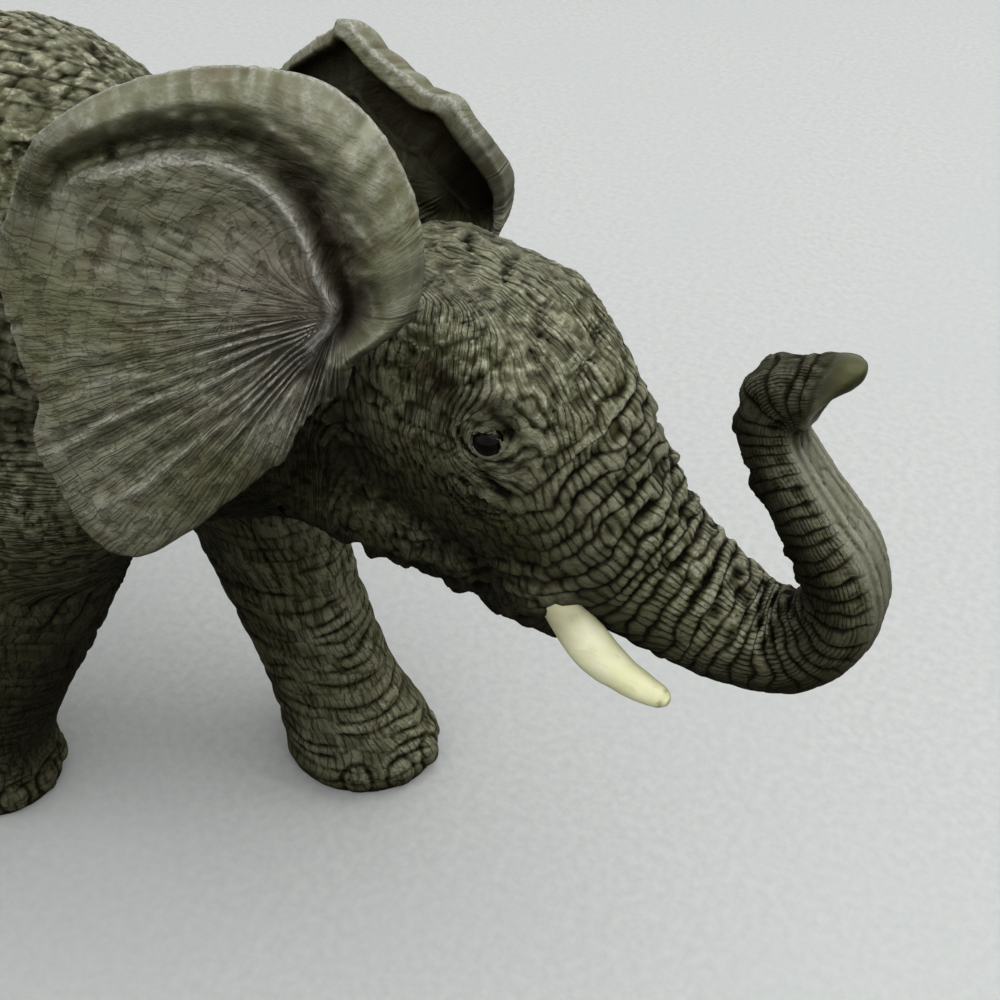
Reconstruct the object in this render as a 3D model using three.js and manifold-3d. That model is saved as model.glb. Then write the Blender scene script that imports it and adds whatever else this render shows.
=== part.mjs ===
// A walking young elephant, moulded in pieces: a hollow body in two halves, four legs, a head with a
// raised trunk, two spread ears, two tusks, two eye beads and a tail. Millimetres, facing +X, up is +Z.
import * as THREE from 'three';
import Module from 'manifold-3d';
import { mergeVertices } from 'three/addons/utils/BufferGeometryUtils.js';

const wasm = await Module();
wasm.setup();

// Main sizes
const withersHeight = 120;   // ground to the top of the shoulders
const headHeight = 46;       // crown of the skull to the underside of the jaw
const earHeight = 50;        // top of the rolled rim to the tip of the lower lobe
const eyeRadius = 1.7;       // bead that fills the eye socket
const tuskLength = 21.7;     // a tusk with its peg, along its curve
const skullRiseShare = 0.733; // ground to the middle of the skull, of the withers height
const skullRise = withersHeight * skullRiseShare;

// Walls and fits
const fitGap = 0.3;          // clearance between a piece and the one it seats in
const wallThickness = 4;     // wall of the hollow body
const neckSeamSetback = 22;  // neck joint behind the middle of the skull
const neckPlugRadius = 8;
const neckPlugDepth = 5;     // how far the neck plug enters the body
const neckPlugDropShare = 0.1; // neck plug below the middle of the skull, of the head height
const legPlugRadius = 5.5;
const legPlugTopShare = 0.6;  // ground to the top of a leg's plug, of the withers height
const legPlugFootShare = 0.475; // ground to the buried foot of a leg's plug
const pinRadius = 2.2;       // locating pins between the body halves
const pinReach = 4;          // length of a pin beyond the joint face
const pinRoot = 6;           // how far a pin is rooted in its own half
const rumpPinStation = 1.2;  // body stations at which the pins stand
const neckPinStation = 8.6;
const tailPegRadius = 1.6;
const nostrilRadius = 0.85;
const nostrilDepth = 2.6;

// Facets
const nudgeShare = 0.05;     // step along a station table for finding its direction
const ringsPerGap = 2;       // loft rings between two stations
const bodyRingsPerGap = 3;
const bodyFacets = 34;
const cavityFacets = 20;
const legFacets = 16;
const trunkFacets = 16;
const smallFacets = 10;
const earFacets = 48;
const eyeFacets = 14;

// Body stations: forward, rise, half width, up, down, as shares of the withers height
const bodyShares = [
  [-1.275, 0.700, 0.033, 0.042, 0.050],
  [-1.250, 0.700, 0.096, 0.100, 0.117],
  [-1.183, 0.700, 0.158, 0.183, 0.208],
  [-1.083, 0.700, 0.204, 0.233, 0.267],
  [-0.933, 0.683, 0.229, 0.258, 0.283],
  [-0.767, 0.667, 0.237, 0.283, 0.292],
  [-0.617, 0.667, 0.229, 0.325, 0.283],
  [-0.483, 0.683, 0.204, 0.325, 0.267],
  [-0.367, 0.700, 0.163, 0.263, 0.225],
  [-0.267, 0.717, 0.133, 0.200, 0.196],
  [-0.167, 0.725, 0.118, 0.163, 0.171],
  [-0.075, 0.725, 0.100, 0.133, 0.150],
];
// Soft mounds and hollows of the skin, on both sides where they stand off the middle plane:
// forward, outward, rise, then the reach along each of these, then the height, of the withers height
const moundShares = [
  [-0.383, 0.183, 0.817, 0.058, 0.058, 0.133, 0.0110],   // shoulder blade
  [-0.283, 0.117, 0.867, 0.058, 0.058, 0.058, -0.0100],  // hollow behind the neck
  [-0.433, 0.183, 0.600, 0.075, 0.058, 0.075, 0.0080],   // upper arm
  [-0.550, 0.208, 0.667, 0.050, 0.067, 0.117, -0.0100],  // hollow behind the shoulder
  [-0.767, 0.225, 0.617, 0.133, 0.067, 0.100, 0.0070],   // ribs
  [-0.933, 0.200, 0.767, 0.067, 0.067, 0.075, -0.0100],  // hollow before the hip
  [-1.033, 0.142, 0.867, 0.067, 0.058, 0.050, 0.0100],   // hip
  [-1.100, 0.167, 0.700, 0.083, 0.058, 0.100, 0.0070],   // thigh
  [-0.700, 0.000, 0.945, 0.350, 0.030, 0.050, 0.0080],   // ridge of the spine
  [-0.700, 0.083, 0.917, 0.300, 0.033, 0.042, -0.0055],  // hollow beside the spine
  [-0.033, 0.113, 0.842, 0.033, 0.033, 0.038, -0.0175],  // temple
  [-0.067, 0.108, 0.758, 0.038, 0.042, 0.033, 0.0058],   // cheek bone
  [0.017, 0.096, 0.704, 0.033, 0.042, 0.025, -0.0067],   // hollow under the eye
  [-0.108, 0.117, 0.700, 0.050, 0.042, 0.050, -0.0075],  // hollow behind the cheek
  [0.100, 0.079, 0.717, 0.029, 0.033, 0.038, -0.0058],   // side of the trunk's root
  [0.050, 0.000, 0.858, 0.042, 0.058, 0.033, 0.0042],    // forehead
  [-0.075, 0.000, 0.904, 0.042, 0.021, 0.025, -0.0067],  // parting of the crown
];
const cavityFirstStation = 2;
const cavityLastStation = 8;

// Leg stations: height, toward the middle, away from the middle, front, back, swing, bend.
// Swing is the share of the step taken at that height, the others are shares of the withers height.
// A leg that trails bends forward at the elbow or knee, and the leading foreleg bends back.
const forelegShares = [
  [0.733, 0.060, 0.040, 0.110, 0.120, 0.00, 0.000],
  [0.600, 0.092, 0.092, 0.128, 0.140, 0.10, 0.010],
  [0.467, 0.088, 0.088, 0.112, 0.125, 0.28, 0.016],
  [0.333, 0.079, 0.079, 0.095, 0.112, 0.50, 0.021],
  [0.200, 0.073, 0.073, 0.086, 0.096, 0.75, 0.018],
  [0.108, 0.078, 0.078, 0.094, 0.089, 0.92, 0.010],
  [0.042, 0.092, 0.092, 0.112, 0.098, 1.00, 0.000],
  [0.012, 0.094, 0.094, 0.115, 0.100, 1.00, 0.000],
  [0.000, 0.088, 0.088, 0.108, 0.094, 1.00, 0.000],
];
const hindlegShares = [
  [0.767, 0.070, 0.050, 0.110, 0.110, 0.00, 0.000],
  [0.617, 0.104, 0.104, 0.155, 0.158, 0.15, 0.012],
  [0.467, 0.094, 0.094, 0.120, 0.126, 0.35, 0.029],
  [0.333, 0.080, 0.080, 0.094, 0.101, 0.60, 0.017],
  [0.200, 0.072, 0.072, 0.082, 0.087, 0.85, -0.013],
  [0.100, 0.078, 0.078, 0.090, 0.083, 0.97, -0.013],
  [0.042, 0.089, 0.089, 0.104, 0.090, 1.00, 0.000],
  [0.012, 0.091, 0.091, 0.107, 0.092, 1.00, 0.000],
  [0.000, 0.085, 0.085, 0.100, 0.086, 1.00, 0.000],
];
// How far each height stands off the middle plane, by station
const legSpreadShares = [0.110, 0.130, 0.140, 0.139, 0.129, 0.121, 0.120, 0.120, 0.120];
// Hip and foot places along the body, as shares of the withers height
const legPlaces = {
  foreleg_left: { stations: forelegShares, hipShare: -0.433, footShare: -0.266, side: 1, bendWay: -1 },
  foreleg_right: { stations: forelegShares, hipShare: -0.433, footShare: -0.703, side: -1, bendWay: 1 },
  hindleg_left: { stations: hindlegShares, hipShare: -1.075, footShare: -1.204, side: 1, bendWay: 1 },
  hindleg_right: { stations: hindlegShares, hipShare: -1.070, footShare: -0.963, side: -1, bendWay: 1 },
};

// Jaw and throat stations from the skull's middle: forward, rise, half width, up, down, of the head height
const jawShares = [
  [-0.696, -0.200, 0.261, 0.261, 0.230],
  [-0.478, -0.245, 0.272, 0.261, 0.230],
  [-0.196, -0.290, 0.262, 0.250, 0.232],
  [0.022, -0.348, 0.230, 0.217, 0.202],
  [0.174, -0.413, 0.178, 0.174, 0.152],
  [0.283, -0.465, 0.100, 0.096, 0.087],
  [0.337, -0.487, 0.043, 0.043, 0.043],
];

// Face and trunk stations on one line: forward, rise, half width, front, back, of the head height
const faceShares = [
  [-0.293, 0.337, 0.109, 0.065, 0.065],
  [-0.228, 0.289, 0.228, 0.141, 0.196],
  [-0.130, 0.185, 0.300, 0.239, 0.370],
  [0.000, 0.043, 0.333, 0.283, 0.413],
  [0.109, -0.087, 0.322, 0.283, 0.370],
  [0.217, -0.217, 0.280, 0.246, 0.293],
  [0.322, -0.322, 0.235, 0.213, 0.239],
  [0.422, -0.400, 0.196, 0.189, 0.189],
  [0.559, -0.470, 0.172, 0.165, 0.165],
  [0.674, -0.511, 0.150, 0.141, 0.141],
  [0.783, -0.500, 0.135, 0.126, 0.126],
  [0.865, -0.424, 0.122, 0.107, 0.111],
  [0.898, -0.315, 0.115, 0.102, 0.107],
  [0.865, -0.196, 0.109, 0.100, 0.102],
  [0.787, -0.089, 0.100, 0.096, 0.096],
  [0.717, 0.007, 0.093, 0.089, 0.089],
  [0.663, 0.100, 0.087, 0.080, 0.080],
  [0.650, 0.183, 0.085, 0.074, 0.076],
  [0.683, 0.236, 0.087, 0.065, 0.076],
  [0.743, 0.255, 0.089, 0.057, 0.083],
  [0.812, 0.262, 0.085, 0.045, 0.098],
];
const trunkEndLeanShare = 0.1;    // how far the end face leans back below, of the head height
const trunkEndLeanStations = 2.2; // stations over which the lean grows
const trunkSeamStation = 6.5;     // where the trunk is joined, counted along the face stations
const trunkPlugStartStation = 5.7; // inner end of the trunk's plug
const trunkPlugEndStation = 7.2;  // outer end, buried in the trunk
const trunkSeamShiftShare = 0.06; // gap at the trunk's joint, as a share of a station
const trunkPlugShare = 0.55;      // plug size as a share of the trunk's own section
// Finger at the tip of the trunk: forward, rise, half width, front, back
const fingerShares = [
  [0.700, 0.268, 0.060, 0.040, 0.040],
  [0.770, 0.294, 0.062, 0.042, 0.050],
  [0.820, 0.318, 0.050, 0.030, 0.040],
  [0.848, 0.318, 0.020, 0.014, 0.016],
];
// Nostrils in the end face, from the skull's middle: forward, half spacing, rise
const nostrilShares = [0.765, 0.038, 0.225];
const nostrilDirection = new THREE.Vector3(0.82, 0, -0.57).normalize();

// Where a tusk leaves its socket, from the skull's middle: forward, outward, rise, of the head height
const tuskRootShares = [0.278, 0.224, -0.411];
// Tusk stations from there: forward, outward, rise, radius, of the tusk's length
const tuskShares = [
  [-0.174, -0.032, 0.227, 0.088],
  [-0.073, -0.010, 0.117, 0.104],
  [0.021, 0.003, -0.032, 0.109],
  [0.143, 0.024, -0.152, 0.119],
  [0.234, 0.037, -0.218, 0.110],
  [0.348, 0.050, -0.273, 0.092],
  [0.460, 0.063, -0.299, 0.079],
  [0.561, 0.075, -0.315, 0.058],
  [0.603, 0.088, -0.318, 0.025],
];
// Lip that sheathes a tusk: forward, outward, rise, radius, of the head height
const sheathShares = [
  [0.030, 0.100, -0.220, 0.075],
  [0.140, 0.170, -0.280, 0.100],
  [0.215, 0.205, -0.345, 0.088],
  [0.262, 0.220, -0.395, 0.070],
];
// Hanging lower lip: forward, rise, half width, front, back, of the head height
const lowerLipShares = [
  [-0.060, -0.400, 0.200, 0.140, 0.150],
  [0.060, -0.490, 0.180, 0.120, 0.130],
  [0.150, -0.580, 0.145, 0.090, 0.100],
  [0.210, -0.660, 0.090, 0.055, 0.065],
  [0.235, -0.705, 0.035, 0.022, 0.028],
];
// Brow ridge above an eye: forward, outward, rise, radius
const browShares = [
  [-0.080, 0.170, 0.205, 0.060],
  [0.050, 0.205, 0.180, 0.088],
  [0.160, 0.185, 0.085, 0.076],
  [0.230, 0.140, -0.020, 0.040],
];
// Eye from the skull's middle: forward, outward, rise
const eyeShares = [0.100, 0.289, 0.109];

// Ear, drawn round its own middle, in shares of the ear height. Turns run from straight back over the top.
const earRootShares = [-0.234, 0.308, 0.326];       // root from the skull's middle, of the head height
const earMiddleShares = [0.220, 0.040];             // ear's middle, back and up from the root
// Each ear's pose, its edge's reach at even turns, and bumps and notches of the edge: turn, width, height
const ears = {
  ear_right: {
    side: -1,
    spreadDegrees: 28.3,
    tiltDegrees: 20.4,
    rollDegrees: 0,
    reachShares: [
      0.450, 0.472, 0.484, 0.476, 0.468, 0.474, 0.482, 0.450, 0.410,
      0.366, 0.264, 0.270, 0.260, 0.336, 0.440, 0.600, 0.530, 0.456,
    ],
    bumpShares: [[0.935, 0.012, -0.022]],
  },
  ear_left: {
    side: 1,
    spreadDegrees: 19.2,
    tiltDegrees: 14.8,
    rollDegrees: 27,
    reachShares: [
      0.450, 0.472, 0.480, 0.425, 0.402, 0.412, 0.386, 0.370, 0.398,
      0.340, 0.278, 0.270, 0.260, 0.336, 0.440, 0.600, 0.530, 0.456,
    ],
    bumpShares: [[0.303, 0.018, 0.052], [0.420, 0.014, 0.028]],
  },
};
const earThicknessShare = 0.044;
// Where the valley under the rolled rim lies at even turns, as a share of the way out
const valleyShares = [
  0.620, 0.700, 0.800, 0.735, 0.690, 0.645, 0.560, 0.520, 0.515,
  0.590, 0.700, 0.700, 0.650, 0.600, 0.600, 0.600, 0.600, 0.600,
];
// Rings from near the middle to the edge, the valley half way: how far each face stands off the sheet
const earRings = [
  { placeShare: 0.3, outerShare: 0.006, innerShare: 0.004 },
  { placeShare: 0.47, outerShare: 0.022, innerShare: 0.010 },
  { placeShare: 0.53, outerShare: -0.012, innerShare: -0.006 },
  { placeShare: 0.6, outerShare: -0.010, innerShare: -0.004 },
  { placeShare: 0.7, outerShare: 0.034, innerShare: 0.026 },
  { placeShare: 0.81, outerShare: 0.060, innerShare: 0.030 },
  { placeShare: 0.92, outerShare: 0.046, innerShare: 0 },
  { placeShare: 1, outerShare: 0.012, innerShare: 0.012 },
];
const valleyPlaceShare = 0.5;
const earBowlShare = 0.05;        // how far the hem bows back
const earFlareShare = 0.05;       // how far the lower front of the rim stands clear of the cheek
// Turns where the roll and the flare fade in and out
const rimStartTurns = [0.08, 0.17];
const rimEndTurns = [0.56, 0.63];
const flareStartTurns = [0.44, 0.54];
const flareEndTurns = [0.68, 0.8];
const flareRingShares = [0.4, 0.9];
const edgeRoundness = 6;          // the higher, the squarer the ear's edge
const hemWaveShare = 0.016;       // scallops in the hem
const hemWaveCount = 9;
// Tongue from the ear's root into the head: along, half height, half width, of the head height
const tongueShares = [
  [0.000, 0.100, 0.070],
  [0.060, 0.100, 0.062],
  [0.130, 0.080, 0.048],
  [0.200, 0.076, 0.044],
];
const tongueDirection = new THREE.Vector3(0.46, -0.7, -0.55).normalize();

// Tail stations: forward, rise, half width, half depth, of the withers height
const tailShares = [
  [-1.180, 0.830, 0.013, 0.013],
  [-1.225, 0.815, 0.019, 0.019],
  [-1.275, 0.780, 0.024, 0.024],
  [-1.308, 0.700, 0.021, 0.021],
  [-1.322, 0.600, 0.016, 0.016],
  [-1.325, 0.500, 0.014, 0.014],
  [-1.322, 0.440, 0.019, 0.027],
  [-1.318, 0.370, 0.017, 0.026],
  [-1.316, 0.320, 0.005, 0.008],
];

// A smooth row of numbers at a place between the rows of a station table
function rowBetween(rows, place) {
  const last = rows.length - 1;
  const start = Math.min(Math.floor(place), last - 1);
  const part = place - start;
  const before = rows[Math.max(start - 1, 0)];
  const from = rows[start];
  const to = rows[start + 1];
  const after = rows[Math.min(start + 2, last)];
  return from.map((value, column) => {
    const rise = (to[column] - before[column]) / 2;
    const fall = (after[column] - value) / 2;
    const square = part * part;
    const cube = square * part;
    return (2 * cube - 3 * square + 1) * value + (cube - 2 * square + part) * rise
      + (3 * square - 2 * cube) * to[column] + (cube - square) * fall;
  });
}

function smoothStep(low, high, value) {
  const part = Math.min(Math.max((value - low) / (high - low), 0), 1);
  return part * part * (3 - 2 * part);
}

function samplePlaces(from, to, perGap = ringsPerGap) {
  const steps = Math.max(Math.round((to - from) * perGap), 1);
  return Array.from({ length: steps + 1 }, (unused, step) => from + (to - from) * step / steps);
}

// A closed solid skinned over rings of points, capped at both ends
function skinRings(rings) {
  const around = rings[0].length;
  const points = rings.flat();
  const triangles = [];
  for (let ring = 0; ring < rings.length - 1; ring += 1) {
    for (let step = 0; step < around; step += 1) {
      const next = (step + 1) % around;
      const lower = ring * around;
      const upper = lower + around;
      triangles.push(lower + step, lower + next, upper + next);
      triangles.push(lower + step, upper + next, upper + step);
    }
  }
  [0, rings.length - 1].forEach((ring) => {
    const centre = rings[ring].reduce((sum, point) => sum.add(point), new THREE.Vector3());
    points.push(centre.divideScalar(around));
    const hub = points.length - 1;
    for (let step = 0; step < around; step += 1) {
      const here = ring * around + step;
      const next = ring * around + (step + 1) % around;
      if (ring === 0) {
        triangles.push(hub, next, here);
      } else {
        triangles.push(hub, here, next);
      }
    }
  });
  return solidFromTriangles(points, triangles);
}

function solidFromTriangles(points, triangles) {
  const mesh = new wasm.Mesh({
    numProp: 3,
    vertProperties: Float32Array.from(points.flatMap((point) => [point.x, point.y, point.z])),
    triVerts: Uint32Array.from(triangles),
  });
  mesh.merge();
  return new wasm.Manifold(mesh);
}

// An oval ring: left and right reach along one direction, front and back reach along the other
function ovalRing(centre, leftward, frontward, reach, facets) {
  return Array.from({ length: facets }, (unused, step) => {
    const angle = 2 * Math.PI * step / facets;
    const across = Math.cos(angle);
    const along = Math.sin(angle);
    return centre.clone()
      .addScaledVector(leftward, across * (across > 0 ? reach.left : reach.right))
      .addScaledVector(frontward, along * (along > 0 ? reach.front : reach.back));
  });
}

// How far the mounds and hollows lift the skin at a point: each a bell curve of the distance in its reaches
function moundHeight(point) {
  const sum = moundShares.reduce((total, [forward, outward, rise, long, wide, tall, height]) => {
    const off = new THREE.Vector3(
      (point.x / withersHeight - forward) / long,
      (Math.abs(point.y) / withersHeight - outward) / wide,
      (point.z / withersHeight - rise) / tall,
    );
    return total + height * Math.exp(-off.lengthSq());
  }, 0);
  return sum * withersHeight;
}

function mounded(ring, centre) {
  return ring.map((point) => {
    const outward = point.clone().sub(centre).normalize();
    return point.addScaledVector(outward, moundHeight(point));
  });
}

const crosswiseShare = 0.9;       // beyond this a round piece counts as running across the figure
const leftAxis = new THREE.Vector3(0, 1, 0);
const upAxis = new THREE.Vector3(0, 0, 1);
const forwardAxis = new THREE.Vector3(1, 0, 0);

// Upright oval ring along the body; swell is added to every reach
function uprightRing(shares, unit, rise, swell, place, facets) {
  const [forward, up, half, above, below] = rowBetween(shares, place).map((share) => share * unit);
  const centre = new THREE.Vector3(forward, 0, up + rise);
  const reach = { left: half + swell, right: half + swell, front: above + swell, back: below + swell };
  return { centre, ring: ovalRing(centre, leftAxis, upAxis, reach, facets) };
}

// Loft along the body with upright sections, lifted by the mounds of the skin
function uprightLoft(shares, unit, rise, swell) {
  const rings = samplePlaces(0, shares.length - 1, bodyRingsPerGap).map((place) => {
    const { centre, ring } = uprightRing(shares, unit, rise, swell, place, bodyFacets);
    return mounded(ring, centre);
  });
  return skinRings(rings);
}

// Loft along the middle plane whose sections stand square to its own line
function bentLoft(shares, from, to, scale, swell, facets, perGap = ringsPerGap) {
  const middle = (place) => {
    const [forward, up] = rowBetween(shares, place);
    return new THREE.Vector3(forward, 0, up).multiplyScalar(headHeight);
  };
  const last = shares.length - 1;
  const rings = samplePlaces(from, to, perGap).map((place) => {
    const ahead = middle(Math.min(place + nudgeShare, last));
    const behind = middle(Math.max(place - nudgeShare, 0));
    const along = ahead.sub(behind).normalize();
    const frontward = along.clone().cross(leftAxis);
    const [, , half, front, back] = rowBetween(shares, place).map((share) => share * headHeight * scale);
    const reach = { left: half + swell, right: half + swell, front: front + swell, back: back + swell };
    const centre = middle(place).add(new THREE.Vector3(0, 0, skullRise));
    const ring = mounded(ovalRing(centre, leftAxis, frontward, reach, facets), centre);
    return shares === faceShares ? leaned(ring, centre, along, frontward, reach, place) : ring;
  });
  return skinRings(rings);
}

// Near the trunk's end a ring leans back below, so that the end face looks forward and down
function leaned(ring, centre, along, frontward, reach, place) {
  const last = faceShares.length - 1;
  const lean = trunkEndLeanShare * headHeight * smoothStep(last - trunkEndLeanStations, last, place);
  return ring.map((point) => {
    const height = point.clone().sub(centre).dot(frontward);
    const low = (reach.front - height) / (reach.front + reach.back);
    return point.addScaledVector(along, -lean * low);
  });
}

// Round loft through stations given as points and radii
function roundLoft(stations, facets) {
  const rings = samplePlaces(0, stations.length - 1).map((place) => {
    const [x, y, z, wide, deep] = rowBetween(stations, place);
    const [nx, ny, nz] = rowBetween(stations, Math.min(place + nudgeShare, stations.length - 1));
    const [px, py, pz] = rowBetween(stations, Math.max(place - nudgeShare, 0));
    const along = new THREE.Vector3(nx - px, ny - py, nz - pz).normalize();
    const reference = Math.abs(along.y) > crosswiseShare ? upAxis : leftAxis;
    const sideways = reference.clone().addScaledVector(along, -along.dot(reference)).normalize();
    const deepward = along.clone().cross(sideways);
    const reach = { left: wide, right: wide, front: deep, back: deep };
    return ovalRing(new THREE.Vector3(x, y, z), sideways, deepward, reach, facets);
  });
  return skinRings(rings);
}

// Cylinder between two points
function rod(start, end, radius, facets) {
  return roundLoft([
    [start.x, start.y, start.z, radius, radius],
    [end.x, end.y, end.z, radius, radius],
  ], facets);
}

// A block between two corners, for trimming
function block(low, high) {
  const size = high.clone().sub(low);
  const geometry = new THREE.BoxGeometry(size.x, size.y, size.z);
  geometry.translate(low.x + size.x / 2, low.y + size.y / 2, low.z + size.z / 2);
  return solidFromGeometry(geometry);
}

function solidFromGeometry(geometry) {
  geometry.deleteAttribute('normal');
  geometry.deleteAttribute('uv');
  const merged = mergeVertices(geometry);
  const place = merged.getAttribute('position');
  const points = Array.from({ length: place.count }, (unused, index) => (
    new THREE.Vector3().fromBufferAttribute(place, index)));
  return solidFromTriangles(points, Array.from(merged.index.array));
}

// Body and neck in one form, swollen or shrunk by an amount
function bodyForm(swell) {
  return uprightLoft(bodyShares, withersHeight, 0, swell)
    .add(uprightLoft(jawShares, headHeight, skullRise, swell));
}

function headForm(swell) {
  return bodyForm(swell)
    .add(bentLoft(faceShares, 0, trunkSeamStation, 1, swell, bodyFacets, bodyRingsPerGap));
}

// Trimming blocks that reach well past the figure
const beyond = withersHeight * 2;
function beforePlane(forward) {
  return block(new THREE.Vector3(forward, -beyond, -beyond), new THREE.Vector3(beyond, beyond, beyond));
}

function behindPlane(forward) {
  return block(new THREE.Vector3(-beyond, -beyond, -beyond), new THREE.Vector3(forward, beyond, beyond));
}

function besidePlane(side, sideways) {
  const near = side * sideways;
  const low = Math.min(near, side * beyond);
  const high = Math.max(near, side * beyond);
  return block(new THREE.Vector3(-beyond, low, -beyond), new THREE.Vector3(beyond, high, beyond));
}

// Legs
function legStation(place, index) {
  const [height, inner, outer, front, back, swing, bend] = place.stations[index];
  const centre = new THREE.Vector3(
    place.hipShare + (place.footShare - place.hipShare) * swing + place.bendWay * bend,
    place.side * legSpreadShares[index],
    height,
  );
  return { centre, inner, outer, front, back };
}

function legForm(place) {
  const rows = place.stations.map((unused, index) => {
    const { centre, inner, outer, front, back } = legStation(place, index);
    const left = place.side > 0 ? outer : inner;
    const right = place.side > 0 ? inner : outer;
    return [centre.x, centre.y, centre.z, left, right, front, back].map((share) => share * withersHeight);
  });
  const rings = samplePlaces(0, rows.length - 1).map((step) => {
    const [x, y, z, left, right, front, back] = rowBetween(rows, step);
    const centre = new THREE.Vector3(x, y, Math.max(z, 0));
    const reach = { left: front, right: back, front: left, back: right };
    return ovalRing(centre, forwardAxis, leftAxis, reach, legFacets);
  });
  return skinRings(rings.reverse());
}

function legPlug(place, swell) {
  const hip = legStation(place, 1).centre.multiplyScalar(withersHeight);
  return rod(
    new THREE.Vector3(hip.x, hip.y, legPlugFootShare * withersHeight),
    new THREE.Vector3(hip.x, hip.y, legPlugTopShare * withersHeight + swell),
    legPlugRadius + swell,
    legFacets,
  );
}

function leg(place) {
  return legForm(place).subtract(bodyForm(fitGap)).add(legPlug(place, 0));
}

// Tail
function tail(swell) {
  const stations = tailShares.map(([forward, rise, half, deep]) => [
    forward * withersHeight,
    0,
    rise * withersHeight,
    half * withersHeight + swell,
    deep * withersHeight + swell,
  ]);
  return roundLoft(stations, smallFacets);
}

function tailPeg(swell) {
  const [forward, rise] = tailShares[1].map((share) => share * withersHeight);
  return rod(
    new THREE.Vector3(forward, 0, rise),
    new THREE.Vector3(forward + wallThickness, 0, rise + wallThickness / 2),
    tailPegRadius + swell,
    smallFacets,
  );
}

// Hollow body halves
function neckPlug(swell) {
  const rise = skullRise - headHeight * neckPlugDropShare;
  return rod(
    new THREE.Vector3(-neckSeamSetback + neckPlugDepth, 0, rise),
    new THREE.Vector3(-neckSeamSetback - neckPlugDepth - swell, 0, rise),
    neckPlugRadius + swell,
    legFacets,
  );
}

function pinPlaces() {
  const [rumpX, rumpZ] = rowBetween(bodyShares, rumpPinStation).map((share) => share * withersHeight);
  const [neckX, neckZ] = rowBetween(bodyShares, neckPinStation).map((share) => share * withersHeight);
  return [
    new THREE.Vector3(rumpX, 0, rumpZ - wallThickness * 2),
    new THREE.Vector3(neckX, 0, neckZ + neckPlugRadius + wallThickness),
    new THREE.Vector3(neckX, 0, neckZ - neckPlugRadius - wallThickness),
  ];
}

function cavity() {
  const rings = samplePlaces(cavityFirstStation, cavityLastStation).map((place) => (
    uprightRing(bodyShares, withersHeight, 0, -wallThickness, place, cavityFacets).ring));
  return skinRings(rings);
}

function bodyShell() {
  const outer = bodyForm(0).intersect(behindPlane(-neckSeamSetback - fitGap / 2));
  const sockets = Object.values(legPlaces)
    .map((place) => legPlug(place, fitGap))
    .concat([neckPlug(fitGap), tail(fitGap), tailPeg(fitGap)]);
  return sockets.reduce((solid, socket) => solid.subtract(socket), outer.subtract(cavity()));
}

function bodyHalf(shell, side) {
  const half = shell.intersect(besidePlane(side, fitGap / 2));
  return pinPlaces().reduce((solid, place) => {
    if (side > 0) {
      const start = place.clone().setY(pinRoot);
      const end = place.clone().setY(-pinReach);
      return solid.add(rod(start, end, pinRadius, smallFacets).intersect(bodyForm(-fitGap)));
    }
    const start = place.clone().setY(pinRoot);
    const end = place.clone().setY(-pinReach - fitGap);
    return solid.subtract(rod(start, end, pinRadius + fitGap, smallFacets));
  }, half);
}

// Head parts
function headPoint([forward, outward, rise], side) {
  return new THREE.Vector3(
    forward * headHeight,
    side * outward * headHeight,
    rise * headHeight + skullRise,
  );
}

function headStations(shares, side) {
  return shares.map(([forward, outward, rise, radius]) => {
    const point = headPoint([forward, outward, rise], side);
    return [point.x, point.y, point.z, radius * headHeight, radius * headHeight];
  });
}

function tuskStations(side, swell) {
  const root = headPoint(tuskRootShares, side);
  return tuskShares.map(([forward, outward, rise, radius]) => [
    root.x + forward * tuskLength,
    root.y + side * outward * tuskLength,
    root.z + rise * tuskLength,
    radius * tuskLength + swell,
    radius * tuskLength + swell,
  ]);
}

function tusk(side, swell) {
  return roundLoft(tuskStations(side, swell), smallFacets);
}

function eyeBead(side, swell) {
  const geometry = new THREE.SphereGeometry(eyeRadius + swell, eyeFacets, eyeFacets / 2);
  const place = headPoint(eyeShares, side);
  geometry.translate(place.x, place.y, place.z);
  return solidFromGeometry(geometry);
}

function trunkPlug(swell) {
  const from = trunkPlugStartStation;
  return bentLoft(faceShares, from, trunkPlugEndStation, trunkPlugShare, swell, trunkFacets);
}

function head() {
  const sides = [1, -1];
  let solid = headForm(0).intersect(beforePlane(-neckSeamSetback + fitGap / 2));
  solid = solid.add(bentLoft(lowerLipShares, 0, lowerLipShares.length - 1, 1, 0, smallFacets));
  sides.forEach((side) => {
    solid = solid.add(roundLoft(headStations(sheathShares, side), smallFacets));
    solid = solid.add(roundLoft(headStations(browShares, side), smallFacets));
  });
  solid = solid.add(neckPlug(0).intersect(behindPlane(-neckSeamSetback + wallThickness)));
  sides.forEach((side) => {
    solid = solid.subtract(tusk(side, fitGap));
    solid = solid.subtract(eyeBead(side, fitGap));
  });
  Object.values(ears).forEach((shape) => {
    solid = solid.subtract(tongue(shape, fitGap));
  });
  return solid.subtract(trunkPlug(fitGap)).subtract(trunkForm(fitGap, 0));
}

function trunkForm(swell, seamShift) {
  const last = faceShares.length - 1;
  return bentLoft(faceShares, trunkSeamStation + seamShift, last, 1, swell, trunkFacets);
}

function trunk() {
  let solid = trunkForm(0, trunkSeamShiftShare).add(trunkPlug(0));
  solid = solid.add(bentLoft(fingerShares, 0, fingerShares.length - 1, 1, 0, smallFacets));
  [1, -1].forEach((side) => {
    const middle = headPoint(nostrilShares, side);
    const mouth = middle.clone().addScaledVector(nostrilDirection, nostrilDepth);
    const floor = middle.clone().addScaledVector(nostrilDirection, -nostrilDepth);
    solid = solid.subtract(rod(floor, mouth, nostrilRadius, smallFacets));
    solid = solid.subtract(tusk(side, fitGap));
  });
  return solid;
}

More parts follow.
